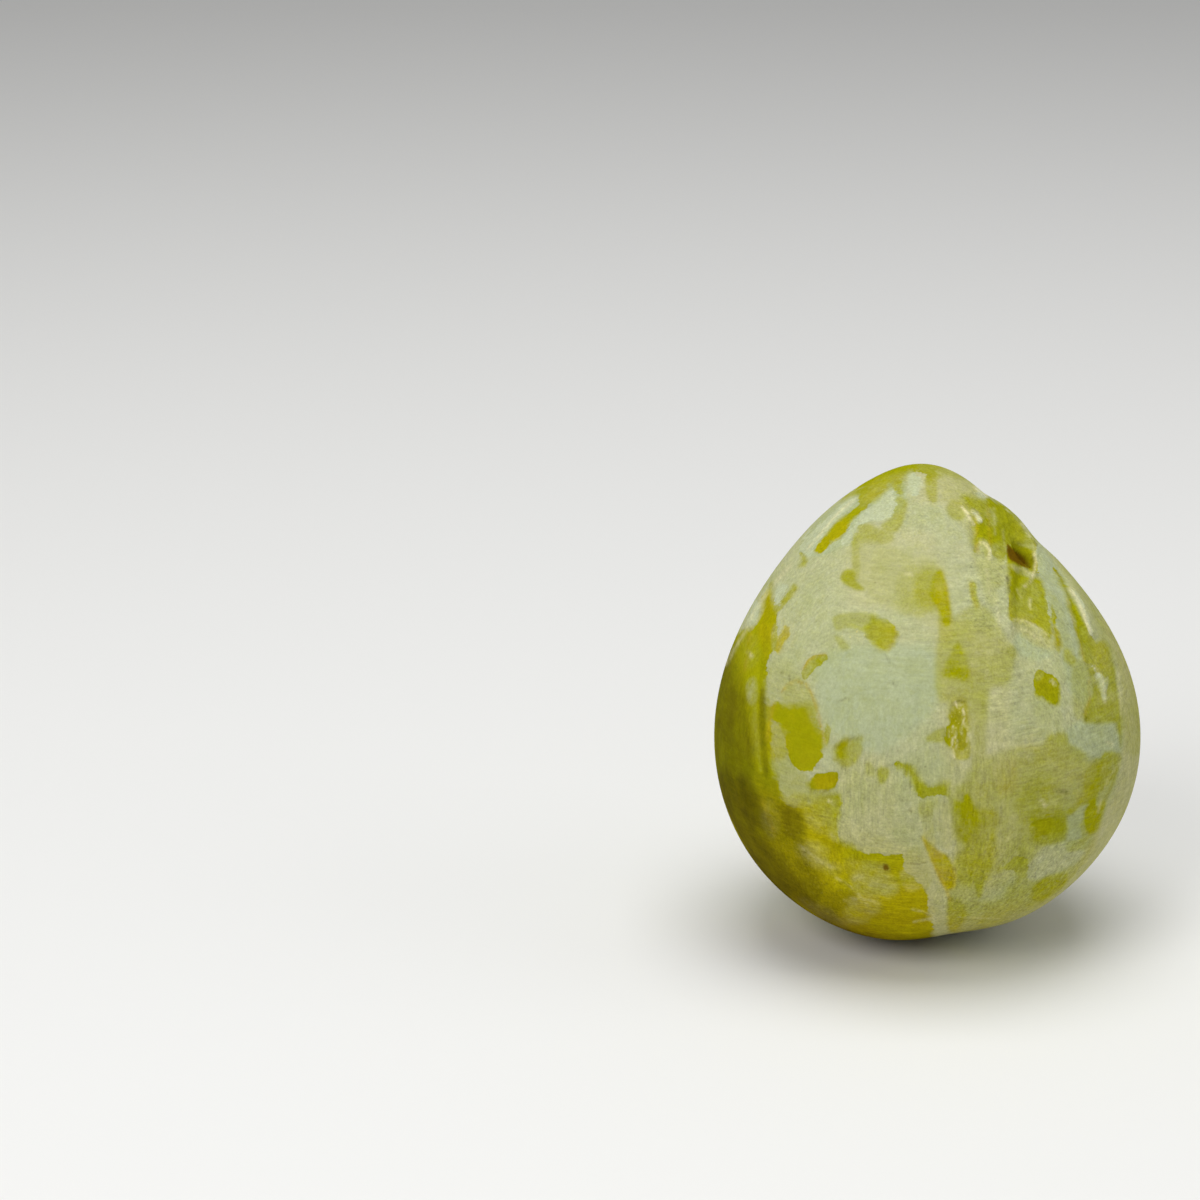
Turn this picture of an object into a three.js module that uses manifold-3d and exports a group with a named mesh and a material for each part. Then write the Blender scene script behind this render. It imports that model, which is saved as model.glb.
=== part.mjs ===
// A whole green-yellow plum at rest, its stem end up and leaning. Millimetres, +Z up.
//
// The fruit is an egg turned about the stem axis: two half ellipses that meet at the belly,
// with a narrow stem pit sunk in at the top. Swells raise its lobes, and folds that start in
// the pit press in the suture and the creases between the lobes. The finished fruit is tipped
// to the attitude in which it rests, and its lowest point is flattened to a small spot.
//
// Places on the skin are given as on a globe whose north pole is the stem end: `down` is the
// angle from the stem, and `round` the angle about the stem, 0 where the suture leaves the pit.

import * as THREE from 'three';
import { mergeVertices } from 'three/addons/utils/BufferGeometryUtils.js';
import Module from 'manifold-3d';

// The egg.
const bellyRadius = 22.0;      // widest radius about the stem axis
const crownHeight = 21.4;      // belly plane to the stem end
const blossomHeight = 24.1;    // belly plane to the blossom end
const flattening = 0.03;       // the belly is this share longer one way than across
const flatteningRound = 101;   // degrees, the way in which the belly is longest

// The stem pit.
const pitDepth = 4.6;          // below the crown
const pitRadius = 1.25;        // at half its depth
const funnelDepth = 1.0;       // the crown's own broad hollow round the pit
const funnelRadius = 3.8;

// Lobes and cheeks that stand out of the egg, and one dent: height in mm, spread in degrees.
const swells = [
  { name: 'tall shoulder', down: 36.7, round: 231.5, height: 5.5, spread: 23 },
  { name: 'its crest', down: 34.3, round: 228, height: 1.15, spread: 8.4 },
  { name: 'far shoulder', down: 29.8, round: 189, height: 0.7, spread: 7 },
  { name: 'low cheek', down: 89, round: 67, height: 0.6, spread: 35 },
  { name: 'low dent', down: 138.5, round: 49, height: -0.75, spread: 9.2 },
];

// Folds that run down the skin from the pit. Each comes in `start` mm from the stem axis, and
// has a steep bank on the side of the tall shoulder and a gentle one on the other. `drift`
// turns it as it goes down, in degrees per degree. Its depth falls from that at the pit to
// `tail` over `reach` degrees.
const suture = {
  round: -18, drift: 0.5, start: 3.5, depth: 1.4, reach: 24, tail: 0.12, steep: 0.6, gentle: 2.6,
};
const farCrease = {
  round: 207, drift: 0, start: 6, depth: 0.76, reach: 30, tail: 0, steep: 1.3, gentle: 1.3,
};
const sideCrease = {
  round: 163, drift: 0, start: 5, depth: 0.41, reach: 26, tail: 0, steep: 1.2, gentle: 1.2,
};
const folds = [suture, farCrease, sideCrease];

// How the fruit lies.
const stemLean = 26.9;         // degrees, the stem axis from upright
const leanHeading = -8.7;      // degrees from +X, the way in which the stem leans
const sutureSpin = -80.2;      // degrees about the stem axis
const restDepth = 0.3;         // how much of the lowest point is flattened

// The mesh.
const ringCount = 50;
const ringCrowding = 1.5;      // above 1, rings crowd towards the pit
const meridianCount = 86;
const meridianCrowding = 0.55; // 0 to 1, meridians crowd towards the suture

// The skin.
const skinColour = 0xa9ad68;
const skinRoughness = 0.5;

const levelWithin = 1e-4;      // a point this close to the surface is on the flat spot

const deg = THREE.MathUtils.degToRad;

// Distance from the belly's centre to the plain egg, at an angle from the stem axis.
function eggRadius(down) {
  const height = down < Math.PI / 2 ? crownHeight : blossomHeight;
  return 1 / Math.hypot(Math.cos(down) / height, Math.sin(down) / bellyRadius);
}

// The egg's half outline with the pit in it, from the blossom end up to the pit's floor.
function outline() {
  const points = [];
  for (let ring = ringCount; ring >= 0; ring--) {
    const down = Math.PI * (ring / ringCount) ** ringCrowding;
    const radius = ring === 0 || ring === ringCount ? 0 : eggRadius(down) * Math.sin(down);
    let height = eggRadius(down) * Math.cos(down);
    if (height > 0) {
      height -= pitDepth * Math.exp(-((radius / pitRadius) ** 3));
      height -= funnelDepth * Math.exp(-((radius / funnelRadius) ** 2));
    }
    points.push(new THREE.Vector2(radius, height));
  }
  return points;
}

function direction(down, round) {
  const outward = Math.sin(down);
  return new THREE.Vector3(outward * Math.cos(round), outward * Math.sin(round), Math.cos(down));
}

// How far the lobes raise the skin in one direction.
function swelling(way) {
  let height = 0;
  for (const swell of swells) {
    const away = way.angleTo(direction(deg(swell.down), deg(swell.round)));
    height += swell.height * Math.exp(-0.5 * (away / deg(swell.spread)) ** 2);
  }
  return height;
}

// How far the folds press the skin in at one place, `girth` mm from the stem axis.
function folding(down, round, girth) {
  let depth = 0;
  for (const fold of folds) {
    const turn = round - deg(fold.round) - fold.drift * down;
    const across = Math.atan2(Math.sin(turn), Math.cos(turn)) * girth;
    const bank = across < 0 ? fold.steep : fold.gentle;
    const fade = Math.exp(-0.5 * (down / deg(fold.reach)) ** 2);
    const here = fold.tail + (fold.depth - fold.tail) * fade;
    const begun = 1 - Math.exp(-((girth / fold.start) ** 2));
    depth += here * begun * Math.exp(-0.5 * (across / bank) ** 2);
  }
  return depth;
}

// Moves the lathe's points to the fruit's real skin, stem axis along +Z. The meridians follow
// the suture and crowd towards it.
function shapeSkin(lathe) {
  const place = lathe.getAttribute('position');
  for (let i = 0; i < place.count; i++) {
    const girth = Math.hypot(place.getX(i), place.getZ(i));
    const height = place.getY(i);
    const down = Math.atan2(girth, height);
    const meridian = Math.atan2(place.getX(i), place.getZ(i));
    const crowded = meridian - meridianCrowding * Math.sin(meridian);
    const round = crowded + deg(suture.round) + suture.drift * down;
    const way = direction(down, round);
    const oval = flattening * Math.cos(2 * (round - deg(flatteningRound))) * Math.sin(down) ** 2;
    const radius = Math.hypot(girth, height) * (1 + oval) + swelling(way) - folding(down, round, girth);
    place.setXYZ(i, radius * way.x, radius * way.y, radius * way.z);
  }
}

// Shares the vertices of a closed shape and drops the flat triangles at its poles.
function closeUp(geometry) {
  geometry.deleteAttribute('normal');
  geometry.deleteAttribute('uv');
  const shared = mergeVertices(geometry);
  const corners = shared.getIndex().array;
  const kept = [];
  for (let i = 0; i < corners.length; i += 3) {
    const [a, b, c] = corners.slice(i, i + 3);
    if (a !== b && b !== c && c !== a) kept.push(a, b, c);
  }
  shared.setIndex(kept);
  return shared;
}

// Cuts away what reaches below the surface on which the fruit rests.
async function flattenBelow(geometry) {
  const wasm = await Module();
  wasm.setup();
  const solid = (shape) => new wasm.Manifold(new wasm.Mesh({
    numProp: 3,
    vertProperties: new Float32Array(shape.getAttribute('position').array),
    triVerts: new Uint32Array(shape.getIndex().array),
  }));
  const room = 4 * blossomHeight;
  const above = closeUp(new THREE.BoxGeometry(room, room, room).translate(0, 0, room / 2));
  const cut = solid(geometry).intersect(solid(above)).getMesh();
  const result = new THREE.BufferGeometry();
  result.setAttribute('position', new THREE.BufferAttribute(cut.vertProperties, cut.numProp));
  result.setIndex(new THREE.BufferAttribute(cut.triVerts, 1));
  return result;
}

// Moves the part so that the middle of its flat spot is the origin.
function centreOnRest(geometry) {
  const place = geometry.getAttribute('position');
  const spot = new THREE.Box3();
  const point = new THREE.Vector3();
  for (let i = 0; i < place.count; i++) {
    point.fromBufferAttribute(place, i);
    if (point.z < levelWithin) spot.expandByPoint(point);
  }
  const middle = spot.getCenter(new THREE.Vector3());
  geometry.translate(-middle.x, -middle.y, 0);
}

async function makePlum() {
  let skin = new THREE.LatheGeometry(outline(), meridianCount);
  shapeSkin(skin);
  skin = closeUp(skin);
  skin.rotateZ(deg(sutureSpin)).rotateY(deg(stemLean)).rotateZ(deg(leanHeading));
  skin.computeBoundingBox();
  skin.translate(0, 0, -skin.boundingBox.min.z - restDepth);
  skin = await flattenBelow(skin);
  centreOnRest(skin);
  skin.computeVertexNormals();
  const material = new THREE.MeshStandardMaterial({
    color: skinColour, roughness: skinRoughness, metalness: 0,
  });
  const plum = new THREE.Mesh(skin, material);
  plum.name = 'plum';
  return plum;
}

const part = new THREE.Group();
part.add(await makePlum());

export default part;
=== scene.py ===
import math
import random

import bpy
import numpy as np
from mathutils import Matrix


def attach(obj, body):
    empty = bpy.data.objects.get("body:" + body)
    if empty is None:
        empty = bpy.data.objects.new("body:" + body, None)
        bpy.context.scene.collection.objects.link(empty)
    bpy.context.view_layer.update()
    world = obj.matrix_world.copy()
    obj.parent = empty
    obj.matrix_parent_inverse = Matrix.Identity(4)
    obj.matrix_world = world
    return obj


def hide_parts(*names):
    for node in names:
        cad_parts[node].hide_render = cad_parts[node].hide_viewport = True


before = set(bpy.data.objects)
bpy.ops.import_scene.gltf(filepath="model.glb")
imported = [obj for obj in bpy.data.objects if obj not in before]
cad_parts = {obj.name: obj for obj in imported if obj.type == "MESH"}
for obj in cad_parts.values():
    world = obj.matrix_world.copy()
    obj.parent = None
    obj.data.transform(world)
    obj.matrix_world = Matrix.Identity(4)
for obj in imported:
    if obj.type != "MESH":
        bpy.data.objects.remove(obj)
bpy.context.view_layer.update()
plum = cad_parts["plum"]
mm = 0.001


def pick(thing):
    bpy.ops.object.select_all(action="DESELECT")
    thing.select_set(True)
    bpy.context.view_layer.objects.active = thing


def editAll(thing):
    pick(thing)
    bpy.ops.object.mode_set(mode="EDIT")
    bpy.ops.mesh.select_all(action="SELECT")


def backToObject():
    bpy.ops.object.mode_set(mode="OBJECT")


def modify(thing, kind, **settings):  # adds a modifier and applies it at once
    pick(thing)
    added = thing.modifiers.new(kind.lower(), kind)
    for name, value in settings.items():
        setattr(added, name, value)
    bpy.ops.object.modifier_apply(modifier=added.name)


def smoothstep(low, high, value):
    part = np.clip((value - low) / (high - low), 0, 1)
    return part * part * (3 - 2 * part)


def unit(vectors):
    return vectors / np.linalg.norm(vectors, axis=-1, keepdims=True)


view = {
    "eye": (-34.25 * mm, -337.19 * mm, 146.83 * mm),
    "tip": 18,            # degrees that the view looks down
    "lens": 100,          # mm
    "film": 36,           # mm, square
    "nearest": 10 * mm,   # nothing closer shows
    "pixels": 1200,       # a side
    "pixelsPerMm": 9.31,  # at the belly of the fruit
}


def makeCamera():
    tilt = (math.radians(90 - view["tip"]), 0, 0)
    bpy.ops.object.camera_add(location=view["eye"], rotation=tilt)
    camera = bpy.context.object
    camera.data.lens = view["lens"]
    camera.data.sensor_fit = "HORIZONTAL"
    camera.data.sensor_width = view["film"]
    camera.data.clip_start = view["nearest"]
    bpy.context.scene.camera = camera


def onView(places):  # the pixel at which each point shows
    tip = math.radians(view["tip"])
    away = places - np.array(view["eye"])
    depth = away @ np.array((0, math.cos(tip), -math.sin(tip)))
    up = away @ np.array((0, math.sin(tip), math.cos(tip)))
    scale = view["pixels"] * view["lens"] / view["film"]
    middle = view["pixels"] / 2
    return np.stack((middle + scale * away[:, 0] / depth, middle - scale * up / depth), 1)


makeCamera()
print("camera ready")


shape = {
    "cells": 76,            # along each edge of the cube that is blown up into the skin
    "turn": (52, 0, 38),    # degrees, brings a corner of the cube, where cells are small, to the front
    "frontFine": -0.10,     # cells are halved where they face the camera by more than this
    "fineRound": 3.4 * mm,  # and halved again this near the pit
    "belly": (0.857 * mm, -0.996 * mm, 23.498 * mm),  # middle of the fruit at its widest
    "stemLean": 26.9,       # degrees
    "stemHeading": -8.7,
    "crown": 21.4 * mm,     # belly to the pit
    "weld": 0.001 * mm,
    "foot": 2 * mm,         # the relief fades out from here down
    "reliefSide": (0.10, 0.26),  # and between these cosines to the camera
}
belly = np.array(shape["belly"])
lean, heading = math.radians(shape["stemLean"]), math.radians(shape["stemHeading"])
stem = np.array((math.sin(lean) * math.cos(heading), math.sin(lean) * math.sin(heading), math.cos(lean)))

# Ridges and grooves from the front: height in mm (grooves below 0), half width in pixels, line in pixels.
ridges = {
    "pit rim": (0.16, 3.0, [(1030, 537), (1034, 547), (1035, 560), (1033, 573), (1027, 582), (1020, 588)]),
    "pit lip": (0.14, 2.2, [(1010, 561), (1018, 565), (1027, 570), (1034, 574)]),
    "pit slot": (-0.16, 2.6, [(1012, 552), (1021, 557), (1030, 564)]),
    "low arc": (0.16, 2.6, [(1012, 621), (1026, 624), (1038, 631), (1048, 638), (1056, 650)]),
    "lobe edge": (0.06, 2.6, [(1008, 548), (1007, 575), (1008, 600), (1011, 620)]),
    "lobe fold": (0.18, 2.4, [(979, 541), (985, 542), (990, 550), (990, 560)]),
    "lobe groove": (-0.22, 2.6, [(973, 522), (975, 540), (979, 554), (984, 566)]),
    "crown edge": (0.22, 2.4, [(962, 507), (966, 514), (972, 521)]),
    "crown knob": (0.20, 3.0, [(975, 514), (980, 520)]),
    "far dimple": (-0.20, 6.0, [(1012, 530), (1022, 545)]),
    "valley": (-0.34, 7.0, [(1054, 570), (1065, 592), (1076, 616), (1086, 640), (1098, 662), (1108, 690)]),
    "valley edge": (0.30, 4.0, [(1071, 587), (1080, 600), (1086, 615), (1090, 632)]),
    "crescent": (0.22, 3.2, [(1093, 664), (1101, 672), (1105, 685), (1106, 698)]),
    "slot floor": (0.22, 9.0, [(1018, 568), (1019, 600), (1021, 622)]),
    "side groove": (-0.12, 6.0, [(768, 590), (763, 640), (760, 700), (763, 760), (772, 800)]),
    "side ridge": (0.14, 5.0, [(757, 590), (748, 618), (752, 690), (752, 760)]),
    "streak edge": (0.14, 3.5, [(838, 512), (826, 528), (812, 545)]),
    "scuff": (-0.10, 6.0, [(958, 704), (955, 730), (960, 755)]),
}


def smoothCopy(node):
    copy = bpy.data.objects.new("smoothPlum", node.data.copy())
    bpy.context.collection.objects.link(copy)
    editAll(copy)
    bpy.ops.mesh.remove_doubles(threshold=shape["weld"])
    bpy.ops.mesh.tris_convert_to_quads()
    backToObject()
    modify(copy, "SUBSURF", levels=2)
    return copy


def halveTowards(ball, way, share):  # halves the cells whose cosine to the given way is above the share
    pick(ball)
    ways = unit(np.array([face.center for face in ball.data.polygons]))
    bpy.ops.object.mode_set(mode="EDIT")
    bpy.ops.mesh.select_all(action="DESELECT")
    backToObject()
    ball.data.polygons.foreach_set("select", ways @ way > share)
    bpy.ops.object.mode_set(mode="EDIT")
    bpy.ops.mesh.subdivide(number_cuts=1)
    backToObject()


def blowUp(ball):
    modify(ball, "CAST", factor=1, radius=0, size=shape["crown"], use_radius_as_size=False)


def makeBall():  # an even ball of small squares about the belly
    turn = [math.radians(angle) for angle in shape["turn"]]
    bpy.ops.mesh.primitive_cube_add(size=2, rotation=turn)
    ball = bpy.context.object
    bpy.ops.object.transform_apply()
    editAll(ball)
    bpy.ops.mesh.subdivide(number_cuts=shape["cells"] - 1)
    backToObject()
    blowUp(ball)
    halveTowards(ball, unit(np.array(view["eye"]) - belly), shape["frontFine"])
    halveTowards(ball, stem, math.cos(shape["fineRound"] / shape["crown"]))
    blowUp(ball)
    ball.location = shape["belly"]
    bpy.ops.object.transform_apply()
    return ball


def read(mesh, field):
    values = np.empty(3 * len(mesh.vertices), dtype=np.float32)
    if field == "normal":
        mesh.vertex_normals.foreach_get("vector", values)
    else:
        mesh.vertices.foreach_get("co", values)
    return values.reshape(-1, 3).astype(float)


def wander(places, size, seed):  # a smooth random field, mostly from -1 to 1, with lumps about size apart
    rng = random.Random(seed)
    waves, shortest, longest = 9, 0.7, 1.6
    total = np.zeros(len(places))
    for _ in range(waves):
        way = unit(np.array([rng.gauss(0, 1) for _ in range(3)]))
        wave = size * rng.uniform(shortest, longest)
        total += np.sin(places @ way * (2 * math.pi / wave) + rng.uniform(0, 2 * math.pi))
    return total / math.sqrt(waves)


def nearLine(points, line):  # distance from each point to a line of straight stretches
    nearest = np.full(len(points), np.inf)
    ends = np.array(line, float)
    for start, end in zip(ends[:-1], ends[1:]):
        run = end - start
        share = np.clip((points - start) @ run / (run @ run), 0, 1)
        nearest = np.minimum(nearest, np.hypot(*(points - start - share[:, None] * run).T))
    return nearest


def facing(places, normals):  # 1 where the skin faces the camera, 0 along the outline, below 0 beyond it
    toEye = unit(np.array(view["eye"]) - places)
    return np.sum(normals * toEye, 1)


def addRelief(skin):
    places, normals = read(skin.data, "co"), read(skin.data, "normal")
    seen = smoothstep(*shape["reliefSide"], facing(places, normals))
    pixels = onView(places)
    height = np.zeros(len(places))
    for rise, halfWidth, line in ridges.values():
        height += rise * np.exp(-0.5 * (nearLine(pixels, line) / halfWidth) ** 2)
    lift = height * seen * smoothstep(0, shape["foot"], places[:, 2])
    places += normals * (lift * mm)[:, None]
    places[:, 2] = np.maximum(places[:, 2], 0)
    skin.data.vertices.foreach_set("co", places.astype(np.float32).ravel())
    skin.data.update()


def makeSkin():
    smooth = smoothCopy(plum)
    skin = makeBall()
    skin.name = "plumSkin"
    skin.data.name = "plumSkin"
    modify(skin, "SHRINKWRAP", target=smooth, wrap_method="PROJECT", use_negative_direction=True)
    bpy.data.objects.remove(smooth)
    pick(skin)
    bpy.ops.object.shade_smooth()
    addRelief(skin)
    return skin


skin = makeSkin()
print("skin shaped:", len(skin.data.polygons), "faces")


# Outlines and lines are in pixels of the view. Of marks with a soft edge, the later lies over the earlier.
# Rubbed to the bare skin: how crisp the edge is, outline.
bareMarks = {
    "crown": (0.45, [(843, 501), (858, 484), (880, 470), (905, 458), (925, 454), (944, 462), (938, 476),
        (930, 483), (924, 474), (913, 472), (906, 478), (903, 490), (902, 497), (892, 487), (884, 491),
        (874, 501), (862, 508), (855, 498)]),
    "slanting streak": (1, [(817, 553), (814, 549), (822, 538), (829, 530), (838, 520), (850, 511),
        (860, 503), (870, 493), (884, 484), (890, 488), (884, 494), (872, 503), (862, 510), (854, 519),
        (847, 529), (839, 538), (832, 542), (824, 551)]),
    "left nick": (0.9, [(800, 552), (805, 556), (805, 563), (801, 567), (798, 566), (801, 560)]),
    "small streak": (1, [(793, 585), (798, 587), (796, 593), (786, 604), (777, 611), (775, 607),
        (782, 600), (788, 593)]),
    "freckle": (0.8, [(783, 625), (787, 626), (790, 632), (788, 640), (783, 645), (779, 653), (775, 652),
        (775, 646), (779, 638)]),
    "left side": (0.7, [(772, 582), (775, 600), (777, 630), (774, 650), (768, 662), (766, 680),
        (767, 698), (771, 708), (773, 722), (772, 742), (774, 762), (778, 778), (782, 794), (790, 803),
        (806, 804), (820, 798), (839, 796), (840, 812), (837, 828), (842, 840), (852, 845), (862, 852),
        (882, 855), (902, 856), (906, 870), (914, 880), (923, 887), (928, 900), (930, 918), (934, 938),
        (930, 985), (870, 970), (800, 990), (752, 945), (690, 930), (655, 880), (682, 846), (664, 806),
        (690, 770), (674, 728), (692, 704), (700, 684), (716, 668), (724, 650), (732, 640), (736, 630),
        (746, 628), (754, 627), (760, 614), (763, 596)]),
    "small arc": (0.9, [(828, 655), (818, 654), (810, 658), (804, 666), (801, 677), (804, 680),
        (809, 676), (815, 669), (821, 664), (828, 659)]),
    "big patch": (0.5, [(766, 712), (770, 705), (784, 703), (800, 704), (812, 705), (817, 714),
        (820, 726), (823, 740), (824, 752), (820, 762), (813, 769), (804, 772), (797, 769), (792, 762),
        (789, 752), (786, 742), (782, 732), (776, 724), (771, 722), (766, 722)]),
    "eyebrow": (0.6, [(834, 759), (833, 749), (839, 742), (849, 738), (859, 737), (860, 741), (852, 744),
        (847, 749), (846, 757), (840, 762)]),
    "oval": (0.8, [(811, 790), (808, 785), (811, 778), (818, 774), (828, 772), (837, 774), (838, 781),
        (833, 788), (822, 791)]),
    "squarish patch": (0.7, [(873, 615), (884, 618), (893, 624), (898, 632), (894, 642), (888, 652),
        (881, 651), (873, 645), (866, 636), (864, 628), (868, 622)]),
    "far shoulder": (0.7, [(962, 497), (972, 496), (986, 497), (1000, 503), (1012, 512), (1024, 526),
        (1034, 540), (1036, 552), (1034, 562), (1024, 556), (1010, 547), (1007, 556), (1002, 562),
        (996, 560), (991, 554), (988, 545), (981, 540), (977, 546), (975, 552), (973, 540), (973, 524),
        (971, 515), (965, 508)]),
    "below the pit": (0.8, [(1009, 548), (1010, 561), (1022, 566), (1033, 570), (1030, 578), (1037, 577),
        (1044, 584), (1046, 600), (1048, 612), (1051, 624), (1053, 637), (1048, 638), (1040, 630),
        (1028, 623), (1011, 620), (1009, 600), (1008, 582), (1008, 565)]),
    "orange spot": (0.9, [(1054, 625), (1059, 632), (1061, 643), (1059, 652), (1055, 645), (1053, 636)]),
    "valley": (0.8, [(1052, 566), (1060, 575), (1067, 587), (1077, 605), (1085, 622), (1092, 637),
        (1096, 650), (1092, 664), (1086, 664), (1081, 655), (1079, 642), (1072, 617), (1067, 600),
        (1060, 582)]),
    "right patch": (0.9, [(1035, 672), (1040, 671), (1046, 673), (1052, 676), (1058, 679), (1060, 690),
        (1058, 705), (1050, 703), (1043, 699), (1036, 695), (1034, 685)]),
    "scuff": (0.6, [(953, 703), (957, 701), (963, 701), (968, 706), (970, 720), (969, 740), (966, 748),
        (956, 750), (950, 747), (944, 742), (944, 731), (948, 718), (951, 709)]),
    "zigzag": (0.55, [(897, 764), (904, 763), (912, 765), (918, 774), (922, 782), (932, 787), (941, 783),
        (948, 784), (950, 792), (948, 798), (934, 796), (920, 797), (914, 788), (908, 776), (901, 769)]),
    "low square": (0.3, [(1036, 818), (1048, 817), (1060, 818), (1060, 832), (1046, 836), (1038, 832)]),
    "low olive": (0.5, [(1005, 868), (1013, 861), (1020, 856), (1027, 860), (1026, 875), (1019, 874),
        (1013, 870)]),
    "right hook": (0.5, [(1103, 756), (1110, 758), (1119, 760), (1113, 776), (1104, 790), (1098, 784),
        (1099, 768)]),
    "patch side": (0.4, [(826, 724), (829, 728), (829, 742), (825, 743)]),
    "pit tail": (0.7, [(1051, 600), (1054, 610), (1056, 624), (1055, 636), (1052, 628)]),
    "slot": (1, [(1007, 543), (1020, 548), (1036, 556), (1037, 573), (1022, 568), (1007, 564)]),
}
# Untouched, pale and matt, and painted highlights on the notch, the valley edge, the crescent and the
# lobe: how crisp the edge is, outline.
waxAndGlintMarks = {
    "upper left streak": (0.8, [(838, 508), (846, 500), (857, 496), (858, 500), (852, 507), (842, 515),
        (834, 522), (826, 533), (816, 546), (810, 554), (803, 552), (800, 546), (808, 535), (822, 521)]),
    "tongue": (0.7, [(887, 492), (892, 490), (895, 497), (895, 508), (890, 516), (880, 520), (866, 522),
        (857, 530), (850, 542), (842, 544), (850, 531), (860, 518), (870, 508), (880, 502)]),
    "crest": (0.6, [(909, 476), (914, 473), (919, 476), (921, 484), (921, 494), (914, 498), (908, 492)]),
    # painted highlights: the notch, the valley edge, the crescent and the lobe glint
    "notch": (0.8, [(975, 487), (980, 489), (986, 496), (984, 499), (977, 496)]),
    "valley edge": (1.4, [(1072, 590), (1077, 593), (1083, 602), (1087, 612), (1090, 623), (1093, 635),
        (1090, 634), (1085, 620), (1080, 608), (1076, 599)]),
    "crescent": (0.45, [(1088, 663), (1096, 666), (1102, 676), (1106, 690), (1105, 702), (1102, 694),
        (1098, 682), (1093, 672)]),
    "left pale": (1, [(756, 600), (750, 612), (747, 620), (749, 626), (755, 623), (759, 614),
        (759, 604)]),
    "lobe glint": (1.2, [(972, 511), (977, 512), (982, 518), (982, 522), (977, 520)]),
    "beside the small streak": (0.6, [(775, 588), (782, 583), (788, 587), (781, 598), (776, 604)]),
}
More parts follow.
